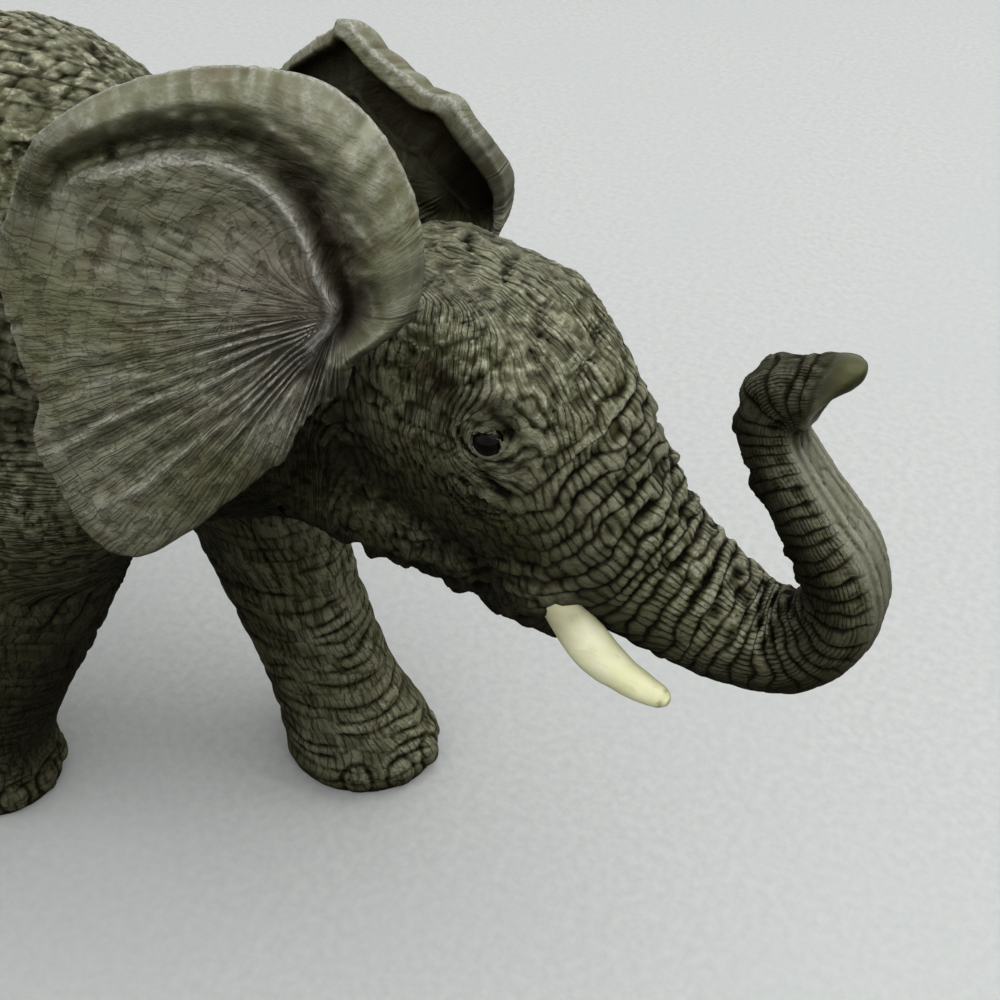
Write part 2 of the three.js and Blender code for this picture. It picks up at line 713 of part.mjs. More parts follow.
// Ears
// A smooth number at a turn between numbers given at even turns, joined end to end
function turnValue(table, turn) {
  const count = table.length;
  const place = turn * count;
  const start = Math.floor(place);
  const part = place - start;
  const [before, from, to, after] = [-1, 0, 1, 2].map((step) => table[(start + step + count) % count]);
  const rise = (to - before) / 2;
  const fall = (after - from) / 2;
  const bend = 3 * (to - from) - 2 * rise - fall;
  const twist = rise + fall - 2 * (to - from);
  return from + part * (rise + part * (bend + part * twist));
}

// How strongly the rim is rolled at a turn: full over the top and the front, none along the hem
function rimWeight(turn) {
  return smoothStep(...rimStartTurns, turn) * (1 - smoothStep(...rimEndTurns, turn));
}

// How much of the flare a turn takes: only the lower front, next to the cheek
function frontWeight(turn) {
  return smoothStep(...flareStartTurns, turn) * (1 - smoothStep(...flareEndTurns, turn));
}

// Reach of an ear's edge at a turn, with its scallops, bumps and notches
function earReach(shape, turn) {
  const wave = hemWaveShare * (1 - rimWeight(turn)) * Math.sin(2 * Math.PI * hemWaveCount * turn);
  const bumps = shape.bumpShares.reduce((sum, [place, width, height]) => (
    sum + height * Math.exp(-(((turn - place) / width) ** 2))), 0);
  return turnValue(shape.reachShares, turn) * (1 + wave) + bumps;
}

// How far out a ring lies at a turn: the valley keeps its place among the rings at every turn
function ringShare(placeShare, turn) {
  const valley = turnValue(valleyShares, turn);
  if (placeShare < valleyPlaceShare) {
    return valley * placeShare / valleyPlaceShare;
  }
  return valley + (1 - valley) * (placeShare - valleyPlaceShare) / (1 - valleyPlaceShare);
}

// Back, up and out places of a point of the ear; face is 1 on the outer side and -1 toward the head
function earPoint(shape, ring, turn, face) {
  const angle = 2 * Math.PI * turn;
  const share = ringShare(ring.placeShare, turn);
  const reach = earReach(shape, turn) * share;
  const back = earMiddleShares[0] + reach * Math.cos(angle);
  const up = earMiddleShares[1] + reach * Math.sin(angle);
  const edge = Math.sqrt(Math.max(1 - share ** edgeRoundness, 0));
  const rim = rimWeight(turn);
  const bowl = -earBowlShare * (share * share) * (1 - rim);
  const lift = rim * (face > 0 ? ring.outerShare : ring.innerShare);
  const flare = earFlareShare * smoothStep(...flareRingShares, share) * frontWeight(turn);
  const out = bowl + face * earThicknessShare / 2 * edge + lift + flare;
  return new THREE.Vector3(back, up, out).multiplyScalar(earHeight);
}

// Root and directions of an ear
function earAxes(shape) {
  const spread = THREE.MathUtils.degToRad(shape.spreadDegrees);
  const tilt = THREE.MathUtils.degToRad(shape.tiltDegrees);
  const roll = THREE.MathUtils.degToRad(shape.rollDegrees);
  const outward = new THREE.Vector3(
    Math.sin(spread) * Math.cos(tilt),
    shape.side * Math.cos(spread) * Math.cos(tilt),
    Math.sin(tilt),
  );
  const upward = upAxis.clone().addScaledVector(outward, -outward.z).normalize();
  const backward = outward.clone().cross(upward).multiplyScalar(-shape.side);
  upward.applyAxisAngle(outward, -shape.side * roll);
  backward.applyAxisAngle(outward, -shape.side * roll);
  return { root: headPoint(earRootShares, shape.side), outward, upward, backward };
}

function earSheet(shape) {
  const { root, outward, upward, backward } = earAxes(shape);
  const place = (point) => root.clone()
    .addScaledVector(backward, point.x)
    .addScaledVector(upward, point.y)
    .addScaledVector(outward, point.z);
  const ringAt = (ring, face) => Array.from({ length: earFacets }, (unused, step) => (
    place(earPoint(shape, ring, step / earFacets, face))));
  const innerRings = earRings.slice(0, -1).reverse();
  const rings = earRings.map((ring) => ringAt(ring, 1))
    .concat(innerRings.map((ring) => ringAt(ring, -1)));
  return skinRings(shape.side < 0 ? rings : rings.map((ring) => ring.reverse()));
}

// Tongue that roots an ear in the head: ovals that lie as the ear does, carried inward
function tongue(shape, swell) {
  const { root, upward, backward } = earAxes(shape);
  const along = tongueDirection.clone();
  along.y *= shape.side;
  const across = backward.multiplyScalar(-shape.side);
  const rings = tongueShares.map(([far, tall, wide]) => {
    const centre = root.clone().addScaledVector(along, far * headHeight);
    const half = wide * headHeight + swell;
    const high = tall * headHeight + swell;
    const reach = { left: half, right: half, front: high, back: high };
    return ovalRing(centre, across, upward, reach, smallFacets);
  });
  return skinRings(rings);
}

function ear(shape) {
  return earSheet(shape).subtract(headForm(fitGap)).add(tongue(shape, 0));
}

// Nodes
const skinColour = 0x4b483c;
const skinFinish = { color: skinColour, roughness: 0.6, metalness: 0 };
const tuskFinish = { color: 0xd9d3a0, roughness: 0.35, metalness: 0 };
const eyeFinish = { color: 0x1f1510, roughness: 0.12, metalness: 0 };

function node(name, solid, finish) {
  const mesh = solid.getMesh();
  const geometry = new THREE.BufferGeometry();
  geometry.setAttribute('position', new THREE.BufferAttribute(Float32Array.from(mesh.vertProperties), 3));
  geometry.setIndex(Array.from(mesh.triVerts));
  geometry.computeVertexNormals();
  const piece = new THREE.Mesh(geometry, new THREE.MeshStandardMaterial(finish));
  piece.name = name;
  return piece;
}

const figure = new THREE.Group();
figure.name = 'elephant_figure';
const shell = bodyShell();
figure.add(node('body_left_shell', bodyHalf(shell, 1), skinFinish));
figure.add(node('body_right_shell', bodyHalf(shell, -1), skinFinish));
Object.entries(legPlaces).forEach(([name, place]) => {
  figure.add(node(name, leg(place), skinFinish));
});
figure.add(node('head', head(), skinFinish));
figure.add(node('trunk', trunk(), skinFinish));
Object.entries(ears).forEach(([name, shape]) => {
  figure.add(node(name, ear(shape), skinFinish));
});
figure.add(node('tusk_left', tusk(1, 0), tuskFinish));
figure.add(node('tusk_right', tusk(-1, 0), tuskFinish));
figure.add(node('eye_left', eyeBead(1, 0), eyeFinish));
figure.add(node('eye_right', eyeBead(-1, 0), eyeFinish));
figure.add(node('tail', tail(0).add(tailPeg(0)), skinFinish));

// The origin goes to the middle of the footprint, on the ground
const bounds = new THREE.Box3().setFromObject(figure);
const middle = bounds.getCenter(new THREE.Vector3());
figure.position.set(-middle.x, -middle.y, -bounds.min.z);

export default figure;
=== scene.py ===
"""A walking young elephant with a raised trunk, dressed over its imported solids.

The figure faces +X, and up is +Z. Shapes are worked out in millimetres in the figure's own frame, with its
origin on the ground below the middle of the skull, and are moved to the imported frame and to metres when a
mesh is made.
"""

import bpy
import numpy as np
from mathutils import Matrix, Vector


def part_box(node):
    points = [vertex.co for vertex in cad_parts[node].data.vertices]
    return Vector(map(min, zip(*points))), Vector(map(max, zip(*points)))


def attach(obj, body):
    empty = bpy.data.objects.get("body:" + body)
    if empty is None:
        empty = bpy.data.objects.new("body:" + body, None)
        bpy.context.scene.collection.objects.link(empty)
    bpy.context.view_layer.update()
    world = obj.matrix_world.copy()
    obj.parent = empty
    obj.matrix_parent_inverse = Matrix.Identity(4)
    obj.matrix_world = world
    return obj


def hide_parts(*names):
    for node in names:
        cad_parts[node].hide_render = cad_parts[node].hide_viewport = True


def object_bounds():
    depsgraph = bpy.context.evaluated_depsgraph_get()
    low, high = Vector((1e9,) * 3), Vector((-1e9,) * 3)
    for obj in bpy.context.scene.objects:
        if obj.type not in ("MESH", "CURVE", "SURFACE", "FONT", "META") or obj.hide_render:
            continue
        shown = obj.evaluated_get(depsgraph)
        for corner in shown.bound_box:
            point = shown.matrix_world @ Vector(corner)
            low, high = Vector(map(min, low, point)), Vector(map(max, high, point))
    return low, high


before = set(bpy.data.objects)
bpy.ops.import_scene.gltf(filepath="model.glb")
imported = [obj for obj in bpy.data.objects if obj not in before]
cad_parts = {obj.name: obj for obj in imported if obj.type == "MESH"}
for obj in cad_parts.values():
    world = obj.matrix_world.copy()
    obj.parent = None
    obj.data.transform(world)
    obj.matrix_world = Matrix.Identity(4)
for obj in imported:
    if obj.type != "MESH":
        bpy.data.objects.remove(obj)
cad_low, cad_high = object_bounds()

# Main sizes, in millimetres, as in the part's source
MM = 0.001
WITHERS = 120.0
HEAD = 46.0
SKULL_RISE = 87.96
EAR = 50.0
EYE = 1.7
TUSK = 21.7
# Forward places of the seam before the neck and of the middle between the fore and hind legs
NECK_SEAM = -22.0
LEG_SPLIT = -85.0
# Size of the voxels that the skin is fused in, and how far it keeps inside the solids' box
VOXEL = 0.82
BOX_GAP = 0.02
# Wrinkles: how far out they are counted round the long line, and how far each row of cells is shifted
GRAIN_RADIUS = 13.65
ROW_SHIFT = 0.37

# Body stations: forward, rise, half width, up, down, of the withers height
BODY = np.array([
    [-1.275, 0.700, 0.033, 0.042, 0.050],
    [-1.250, 0.700, 0.096, 0.100, 0.117],
    [-1.183, 0.700, 0.158, 0.183, 0.208],
    [-1.083, 0.700, 0.204, 0.233, 0.267],
    [-0.933, 0.683, 0.229, 0.258, 0.283],
    [-0.767, 0.667, 0.237, 0.283, 0.292],
    [-0.617, 0.667, 0.229, 0.325, 0.283],
    [-0.483, 0.683, 0.204, 0.325, 0.267],
    [-0.367, 0.700, 0.163, 0.263, 0.225],
    [-0.267, 0.717, 0.133, 0.200, 0.196],
    [-0.167, 0.725, 0.118, 0.163, 0.171],
    [-0.075, 0.725, 0.100, 0.133, 0.150],
]) * WITHERS

# Leg stations: height, inner, outer, front, back, swing, bend
FORELEG = np.array([
    [0.733, 0.060, 0.040, 0.110, 0.120, 0.00, 0.000],
    [0.600, 0.092, 0.092, 0.128, 0.140, 0.10, 0.010],
    [0.467, 0.088, 0.088, 0.112, 0.125, 0.28, 0.016],
    [0.333, 0.079, 0.079, 0.095, 0.112, 0.50, 0.021],
    [0.200, 0.073, 0.073, 0.086, 0.096, 0.75, 0.018],
    [0.108, 0.078, 0.078, 0.094, 0.089, 0.92, 0.010],
    [0.042, 0.092, 0.092, 0.112, 0.098, 1.00, 0.000],
    [0.012, 0.094, 0.094, 0.115, 0.100, 1.00, 0.000],
    [0.000, 0.088, 0.088, 0.108, 0.094, 1.00, 0.000],
])
HINDLEG = np.array([
    [0.767, 0.070, 0.050, 0.110, 0.110, 0.00, 0.000],
    [0.617, 0.104, 0.104, 0.155, 0.158, 0.15, 0.012],
    [0.467, 0.094, 0.094, 0.120, 0.126, 0.35, 0.029],
    [0.333, 0.080, 0.080, 0.094, 0.101, 0.60, 0.017],
    [0.200, 0.072, 0.072, 0.082, 0.087, 0.85, -0.013],
    [0.100, 0.078, 0.078, 0.090, 0.083, 0.97, -0.013],
    [0.042, 0.089, 0.089, 0.104, 0.090, 1.00, 0.000],
    [0.012, 0.091, 0.091, 0.107, 0.092, 1.00, 0.000],
    [0.000, 0.085, 0.085, 0.100, 0.086, 1.00, 0.000],
])
LEG_SPREAD = np.array([0.110, 0.130, 0.140, 0.139, 0.129, 0.121, 0.120, 0.120, 0.120])
# Leg name: stations, hip place, foot place, side, way of the bend
LEGS = {
    "foreleg_left": (FORELEG, -0.433, -0.266, 1, -1),
    "foreleg_right": (FORELEG, -0.433, -0.703, -1, 1),
    "hindleg_left": (HINDLEG, -1.075, -1.204, 1, 1),
    "hindleg_right": (HINDLEG, -1.070, -0.963, -1, 1),
}

# Jaw and throat stations from the skull's middle: forward, rise, half width, up, down, of the head height
JAW = np.array([
    [-0.696, -0.200, 0.261, 0.261, 0.230],
    [-0.478, -0.245, 0.272, 0.261, 0.230],
    [-0.196, -0.290, 0.262, 0.250, 0.232],
    [0.022, -0.348, 0.230, 0.217, 0.202],
    [0.174, -0.413, 0.178, 0.174, 0.152],
    [0.283, -0.465, 0.100, 0.096, 0.087],
    [0.337, -0.487, 0.043, 0.043, 0.043],
]) * HEAD

# Face and trunk stations on one line: forward, rise, half width, front, back, of the head height
FACE = np.array([
    [-0.293, 0.337, 0.109, 0.065, 0.065],
    [-0.228, 0.289, 0.228, 0.141, 0.196],
    [-0.130, 0.185, 0.300, 0.239, 0.370],
    [0.000, 0.043, 0.333, 0.283, 0.413],
    [0.109, -0.087, 0.322, 0.283, 0.370],
    [0.217, -0.217, 0.280, 0.246, 0.293],
    [0.322, -0.322, 0.235, 0.213, 0.239],
    [0.422, -0.400, 0.196, 0.189, 0.189],
    [0.559, -0.470, 0.172, 0.165, 0.165],
    [0.674, -0.511, 0.150, 0.141, 0.141],
    [0.783, -0.500, 0.135, 0.126, 0.126],
    [0.865, -0.424, 0.122, 0.107, 0.111],
    [0.898, -0.315, 0.115, 0.102, 0.107],
    [0.865, -0.196, 0.109, 0.100, 0.102],
    [0.787, -0.089, 0.100, 0.096, 0.096],
    [0.717, 0.007, 0.093, 0.089, 0.089],
    [0.663, 0.100, 0.087, 0.080, 0.080],
    [0.650, 0.183, 0.085, 0.074, 0.076],
    [0.683, 0.236, 0.087, 0.065, 0.076],
    [0.743, 0.255, 0.089, 0.057, 0.083],
    [0.812, 0.262, 0.085, 0.045, 0.098],
]) * HEAD
# Stations of that line: the seam, the first rings, the raised part, the smooth tip and its paler finger
TRUNK_SEAM = 6.53
RINGS_START = 3.4
RAISED_START, RAISED_END = 8.5, 11
TIP_START, TIP_END = 18.7, 19.3
FINGER_START, FINGER_END = 19.3, 20.2
# The trunk's end: its lean back below, its drop, its turn to the right as way ahead for each millimetre to
# the left of an axis, how far to the right that axis lies, and the way that the end face looks
END_LEAN = 0.1 * HEAD
END_DROP = 1.2
END_TURN = 0.3
END_AXIS = 2.8
END_WAY = np.array([0.83, -0.28, -0.482])
FINGER = np.array([
    [0.700, 0.268, 0.060, 0.040, 0.040],
    [0.770, 0.294, 0.062, 0.042, 0.050],
    [0.820, 0.318, 0.050, 0.030, 0.040],
    [0.848, 0.318, 0.020, 0.014, 0.016],
]) * HEAD
LOWER_LIP = np.array([
    [-0.060, -0.400, 0.200, 0.140, 0.150],
    [0.060, -0.490, 0.180, 0.120, 0.130],
    [0.150, -0.580, 0.145, 0.090, 0.100],
    [0.210, -0.660, 0.090, 0.055, 0.065],
    [0.235, -0.705, 0.035, 0.022, 0.028],
]) * HEAD
NOSTRIL = np.array([0.765, 0.038, 0.225])

# Where a tusk leaves its lip, from the skull's middle, and stations from there
# Forward, outward, rise and radius
TUSK_ROOT = np.array([0.278, 0.224, -0.411])
TUSK_LINE = np.array([
    [-0.174, -0.032, 0.227, 0.088],
    [-0.073, -0.010, 0.117, 0.104],
    [0.021, 0.003, -0.032, 0.109],
    [0.143, 0.024, -0.152, 0.119],
    [0.234, 0.037, -0.218, 0.110],
    [0.348, 0.050, -0.273, 0.092],
    [0.460, 0.063, -0.299, 0.079],
    [0.561, 0.075, -0.315, 0.058],
    [0.603, 0.088, -0.318, 0.025],
]) * TUSK
SHEATH = np.array([
    [0.030, 0.100, -0.220, 0.075],
    [0.140, 0.170, -0.280, 0.100],
    [0.215, 0.205, -0.345, 0.088],
    [0.262, 0.220, -0.395, 0.070],
])
BROW = np.array([
    [-0.080, 0.170, 0.205, 0.060],
    [0.050, 0.205, 0.180, 0.088],
    [0.160, 0.185, 0.085, 0.076],
    [0.230, 0.140, -0.020, 0.040],
])
EYE_PLACE = np.array([0.100, 0.289, 0.109])

# Mounds and hollows of the skin: forward, outward, rise, reach along each, height, of the withers height
MOUNDS = np.array([
    [-0.383, 0.183, 0.817, 0.058, 0.058, 0.133, 0.0110],   # shoulder blade
    [-0.283, 0.117, 0.867, 0.058, 0.058, 0.058, -0.0100],  # hollow behind the neck
    [-0.433, 0.183, 0.600, 0.075, 0.058, 0.075, 0.0080],   # upper arm
    [-0.550, 0.208, 0.667, 0.050, 0.067, 0.117, -0.0100],  # hollow behind the shoulder
    [-0.767, 0.225, 0.617, 0.133, 0.067, 0.100, 0.0070],   # ribs
    [-0.933, 0.200, 0.767, 0.067, 0.067, 0.075, -0.0100],  # hollow before the hip
    [-1.033, 0.142, 0.867, 0.067, 0.058, 0.050, 0.0100],   # hip
    [-1.100, 0.167, 0.700, 0.083, 0.058, 0.100, 0.0070],   # thigh
    [-0.700, 0.000, 0.945, 0.350, 0.030, 0.050, 0.0080],   # ridge of the spine
    [-0.700, 0.083, 0.917, 0.300, 0.033, 0.042, -0.0055],  # hollow beside the spine
    [-0.033, 0.113, 0.842, 0.033, 0.033, 0.038, -0.0175],  # temple
    [-0.067, 0.108, 0.758, 0.038, 0.042, 0.033, 0.0058],   # cheek bone
    [0.017, 0.096, 0.704, 0.033, 0.042, 0.025, -0.0067],   # hollow under the eye
    [-0.108, 0.117, 0.700, 0.050, 0.042, 0.050, -0.0075],  # hollow behind the cheek
    [0.100, 0.079, 0.717, 0.029, 0.033, 0.038, -0.0058],   # side of the trunk's root
    [0.050, 0.000, 0.858, 0.042, 0.058, 0.033, 0.0042],    # forehead
    [-0.075, 0.000, 0.904, 0.042, 0.021, 0.025, -0.0067],  # parting of the crown
]) * WITHERS

# The middle of the forehead, which a painted highlight lightens
HIGHLIT_FOREHEAD = np.array([0.02, 0.15, 0.52])
# Painted shade pooled in the head's hollows and under its lip: forward, outward, rise and reach, and how much
SHADE_POOLS = np.array([
    [0.150, 0.000, -0.580, 0.200, 0.95],   # lower lip
    [0.010, 0.000, -0.450, 0.220, 0.60],   # throat before the lip
    [-0.010, 0.280, 0.215, 0.090, 0.80],   # temple
    [0.100, 0.270, 0.185, 0.045, 0.75],    # under the brow
    [-0.330, 0.330, -0.050, 0.200, 0.55],  # behind the cheek
])

# Ears, in shares of their height, as in the part's source
EAR_ROOT = np.array([-0.234, 0.308, 0.326])
EAR_MIDDLE = np.array([0.220, 0.040])
# Ear name: side, spread, tilt and roll in degrees, reach of the edge at even turns, and bumps of the edge
# A bump is its turn, width and height
EARS = {
    "ear_right": (-1, 28.3, 20.4, 0.0, np.array([
        0.450, 0.472, 0.484, 0.476, 0.468, 0.474, 0.482, 0.450, 0.410,
        0.366, 0.264, 0.270, 0.260, 0.336, 0.440, 0.600, 0.530, 0.456,
    ]), [(0.935, 0.012, -0.022)]),
    "ear_left": (1, 19.2, 14.8, 27.0, np.array([
        0.450, 0.472, 0.480, 0.425, 0.402, 0.412, 0.386, 0.370, 0.398,
        0.340, 0.278, 0.270, 0.260, 0.336, 0.440, 0.600, 0.530, 0.456,
    ]), [(0.303, 0.018, 0.052), (0.420, 0.014, 0.028)]),
}
# Thickness of an ear, how deep its middle is hollowed, and how far its front edge flares outward
EAR_THICKNESS = 0.044
EAR_BOWL = 0.05
EAR_FLARE = 0.05
# Where the valley under the rolled rim lies at even turns, as a share of the way out
VALLEY = np.array([
    0.620, 0.700, 0.800, 0.735, 0.690, 0.635, 0.540, 0.500, 0.500,
    0.590, 0.700, 0.700, 0.650, 0.600, 0.600, 0.600, 0.600, 0.600,
])
# Rings from the middle, the valley half way: place, and how far the outer and the inner face stand off
EAR_RINGS = np.array([
    [0.00, 0.000, 0.000],
    [0.30, 0.006, 0.004],
    [0.47, 0.022, 0.010],
    [0.53, -0.012, -0.006],
    [0.60, -0.010, -0.004],
    [0.70, 0.034, 0.026],
    [0.81, 0.060, 0.030],
    [0.92, 0.046, 0.000],
    [1.00, 0.012, 0.012],
])
# Where the folds of an ear come together, back and up from its root
FOLD_CENTRE = (0.3, 1.9)

# Tail stations: forward, rise, half width and half depth
TAIL = np.array([
    [-1.180, 0.830, 0.013, 0.013],
    [-1.225, 0.815, 0.019, 0.019],
    [-1.275, 0.780, 0.024, 0.024],
    [-1.308, 0.700, 0.021, 0.021],
    [-1.322, 0.600, 0.016, 0.016],
    [-1.325, 0.500, 0.014, 0.014],
    [-1.322, 0.440, 0.019, 0.027],
    [-1.318, 0.370, 0.017, 0.026],
    [-1.316, 0.320, 0.005, 0.008],
]) * WITHERS

# Nodes of the skin's pieces, in the order that the faces are numbered in
SKIN_NODES = [
    "body_left_shell", "body_right_shell", "foreleg_left", "foreleg_right",
    "hindleg_left", "hindleg_right", "head", "trunk",
]

FRONT_WAY = np.array([1.0, 0.0, 0.0])
SIDE_WAY = np.array([0.0, 1.0, 0.0])
UP_WAY = np.array([0.0, 0.0, 1.0])


def head_point(shares, side):
    """A point by shares of the head height from the skull's middle: forward, outward to a side, and up."""
    forward, outward, rise = shares
    return np.array([forward * HEAD, side * outward * HEAD, rise * HEAD + SKULL_RISE])


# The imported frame's place of the skull's middle plane and foot, read off one eye bead
bead_low, bead_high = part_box("eye_right")
SHIFT = np.array((bead_low + bead_high) / 2) / MM - head_point(EYE_PLACE, -1)
SHIFT[2] = 0.0


# Numbers and noise
def smooth_step(low, high, value):
    """Rises from 0 at low to 1 at high: three times the square less twice the cube of the part gone."""
    part = np.clip((value - low) / (high - low), 0, 1)
    return part * part * (3 - 2 * part)


def unit(vectors):
    """Each vector divided by its own length."""
    return vectors / np.maximum(np.linalg.norm(vectors, axis=-1, keepdims=True), 1e-9)


def columns(*values):
    """Numbers and arrays set side by side as the columns of one table."""
    return np.stack(np.broadcast_arrays(*values), 1)


def bell(value, middle, width, power=2):
    """1 at the middle: e to minus the distance from it, in widths, to a power."""
    return np.exp(-((value - middle) / width) ** power)


def window(low, full, fall, high, value):
    """Rises from 0 at low to 1 at full, and falls from there at fall to 0 at high."""
    return smooth_step(low, full, value) * (1 - smooth_step(fall, high, value))


def rows_between(table, places):
    """Rows at fractional places: a cubic through two rows, its slopes half the step over their neighbours."""
    last = len(table) - 1
    start = np.clip(np.floor(places).astype(int), 0, last - 1)
    part = (places - start)[:, None]
    here, there = table[start], table[start + 1]
    rise = (there - table[np.maximum(start - 1, 0)]) / 2
    fall = (table[np.minimum(start + 2, last)] - here) / 2
    square, cube = part ** 2, part ** 3
    return ((2 * cube - 3 * square + 1) * here + (cube - 2 * square + part) * rise
            + (3 * square - 2 * cube) * there + (cube - square) * fall)


def line_step(table, places):
    """The way a line runs at fractional places: rows a little further on, less rows a little before."""
    ahead = rows_between(table, np.minimum(places + 0.05, len(table) - 1))
    return ahead - rows_between(table, np.maximum(places - 0.05, 0))


def scramble(cells, seed):
    """A number from 0 to 1 for each whole-numbered cell: its numbers multiplied, crossed and shifted."""
    whole = cells.astype(np.int64).astype(np.uint32)
    mixed = (whole[..., 0] * np.uint32(0x8DA6B343)) ^ (whole[..., 1] * np.uint32(0xD8163841))
    mixed = mixed ^ (whole[..., 2] * np.uint32(0xCB1AB31F)) ^ np.uint32((seed * 2654435761) % 4294967296)
    for shift, factor in ((15, 0x2C1B3C6D), (12, 0x297A2D39)):
        mixed = (mixed ^ (mixed >> np.uint32(shift))) * np.uint32(factor)
    mixed = mixed ^ (mixed >> np.uint32(15))
    return mixed.astype(np.float32) / np.float32(4294967296)


CORNERS = np.array([[x, y, z] for x in (0, 1) for y in (0, 1) for z in (0, 1)])


def drift(points, seed=1):
    """Smooth noise from -1 to 1: random numbers on a unit lattice, blended by a smooth step on each axis."""
    floor = np.floor(points)
    part = points - floor
    fade = part * part * part * (part * (part * 6 - 15) + 10)
    total = np.zeros(len(points))
    for corner in CORNERS:
        share = np.prod(np.where(corner == 1, fade, 1 - fade), axis=1)
        total += share * scramble(floor + corner, seed)
    return total * 2 - 1


def creases(points, width, seed=1):
    """Thin meandering lines, 1 at the line: a bell curve of noise where the noise crosses nought."""
    return bell(drift(points, seed) + 0.5 * drift(points * 2.1 + 7.3, seed + 11), 0, width)


def waver(points, size, amount, seed=1):
    """Points pushed about by three noises of one size."""
    moved = [drift(points / size + 31.7 * axis, seed + axis) for axis in range(3)]
    return points + amount * np.stack(moved, axis=1)


# Grids and meshes
def oval_rings(centres, leftward, frontward, reaches, around):
    """Oval rings: left or right reach times the cosine, front or back reach times the sine, of the turn."""
    angle = np.linspace(0, 2 * np.pi, around, endpoint=False)
    across, along = np.cos(angle), np.sin(angle)
    left, right, front, back = reaches.T[..., None]
    sideways = np.where(across > 0, left, right) * across
    deepward = np.where(along > 0, front, back) * along
    leftward, frontward = [np.broadcast_to(way, centres.shape)[:, None] for way in (leftward, frontward)]
    return centres[:, None] + sideways[..., None] * leftward + deepward[..., None] * frontward


def closed_tube(rings):
    """Points, quads and end triangles of a tube of rings, closed by end points and facing outward."""
    count, around = rings.shape[:2]
    ring, step = np.meshgrid(np.arange(count - 1), np.arange(around), indexing="ij")
    after = (step + 1) % around
    quads = np.stack([ring * around + step, ring * around + after,
                      (ring + 1) * around + after, (ring + 1) * around + step], -1).reshape(-1, 4)
    points = np.vstack([rings.reshape(-1, 3), rings[0].mean(0), rings[-1].mean(0)])
    turn = np.arange(around)
    follow = (turn + 1) % around
    base = (count - 1) * around
    first = columns(count * around, follow, turn)
    final = columns(count * around + 1, base + turn, base + follow)
    return turned_out(points, quads, np.vstack([first, final]))


def turned_out(points, quads, triangles):
    """The same faces, turned round if the volume that they enclose comes out negative."""
    corners = np.vstack([quads[:, :3], quads[:, [0, 2, 3]], triangles])
    one, two, three = points[corners].swapaxes(0, 1)
    if np.einsum("ij,ij->i", one, np.cross(two, three)).sum() < 0:
        return points, quads[:, ::-1], triangles[:, ::-1]
    return points, quads, triangles


def joined(solids):
    """Several sets of points, quads and triangles as one."""
    starts = np.cumsum([0] + [len(points) for points, _, _ in solids])
    return (np.vstack([points for points, _, _ in solids]),
            np.vstack([quads + start for (_, quads, _), start in zip(solids, starts)]),
            np.vstack([triangles + start for (_, _, triangles), start in zip(solids, starts)]))


def make_mesh(name, points, quads, triangles=None):
    """A mesh with the given points and faces."""
    triangles = np.zeros((0, 3), int) if triangles is None else triangles
    mesh = bpy.data.meshes.new(name)
    corners = np.concatenate([quads.ravel(), triangles.ravel()]).astype(np.int32)
    sizes = np.concatenate([np.full(len(quads), 4), np.full(len(triangles), 3)])
    starts = np.concatenate([[0], np.cumsum(sizes)[:-1]]).astype(np.int32)
    mesh.vertices.add(len(points))
    mesh.vertices.foreach_set("co", points.astype(np.float32).ravel())
    mesh.loops.add(len(corners))
    mesh.loops.foreach_set("vertex_index", corners)
    mesh.polygons.add(len(sizes))
    mesh.polygons.foreach_set("loop_start", starts)
    mesh.polygons.foreach_set("use_smooth", np.ones(len(sizes), bool))
    mesh.update(calc_edges=True)
    return mesh


def numbers_of(items, field, wide, kind=np.float32):
    """One field of every item of a mesh, in rows."""
    values = np.zeros(len(items) * wide, kind)
    items.foreach_get(field, values)
    return values.reshape(-1, wide)


def edges_and_normals(mesh):
    """Edges and point normals of a mesh, which is then removed."""
    edges = numbers_of(mesh.edges, "vertices", 2, np.int32)
    normals = numbers_of(mesh.vertex_normals, "vector", 3).astype(float)
    bpy.data.meshes.remove(mesh)
    return edges, normals


def read_mesh(mesh):
    """Points, four-cornered faces, edges and point normals of a mesh, which is then removed."""
    points = numbers_of(mesh.vertices, "co", 3).astype(float)
    quads = numbers_of(mesh.loops, "vertex_index", 1, np.int32).reshape(-1, 4).astype(int)
    return points, quads, *edges_and_normals(mesh)


def linked(name, data):
    """An object of the scene that carries a mesh, lamp or camera."""
    carrier = bpy.data.objects.new(name, data)
    bpy.context.scene.collection.objects.link(carrier)
    return carrier


def with_modifier(mesh, kind, **settings):
    """The mesh as one modifier leaves it, worked out on an object that is then removed with its own mesh."""
    carrier = linked("carrier", mesh)
    modifier = carrier.modifiers.new(kind.lower(), kind)
    for setting, value in settings.items():
        setattr(modifier, setting, value)
    graph = bpy.context.evaluated_depsgraph_get()
    made = bpy.data.meshes.new_from_object(carrier.evaluated_get(graph))
    bpy.data.objects.remove(carrier)
    bpy.data.meshes.remove(mesh)
    return made


def relaxed(points, edges, weight, turns):
    """Every point moves its weight of the way to the mean of its neighbours, once for each turn."""
    ends = np.concatenate([edges[:, 0], edges[:, 1]])
    others = np.concatenate([edges[:, 1], edges[:, 0]])
    shares = np.maximum(np.bincount(ends, minlength=len(points)), 1)
    moved = points.copy()
    for _ in range(turns):
        for axis in range(moved.shape[1]):
            mean = np.bincount(ends, moved[others, axis], len(points)) / shares
            moved[:, axis] += weight * (mean - moved[:, axis])
    return moved


def proud(points, edges, normals, turns):
    """How far each point stands proud of its surroundings, smoothed as many times as there are turns."""
    return ((points - relaxed(points, edges, 0.6, turns)) * normals).sum(1)


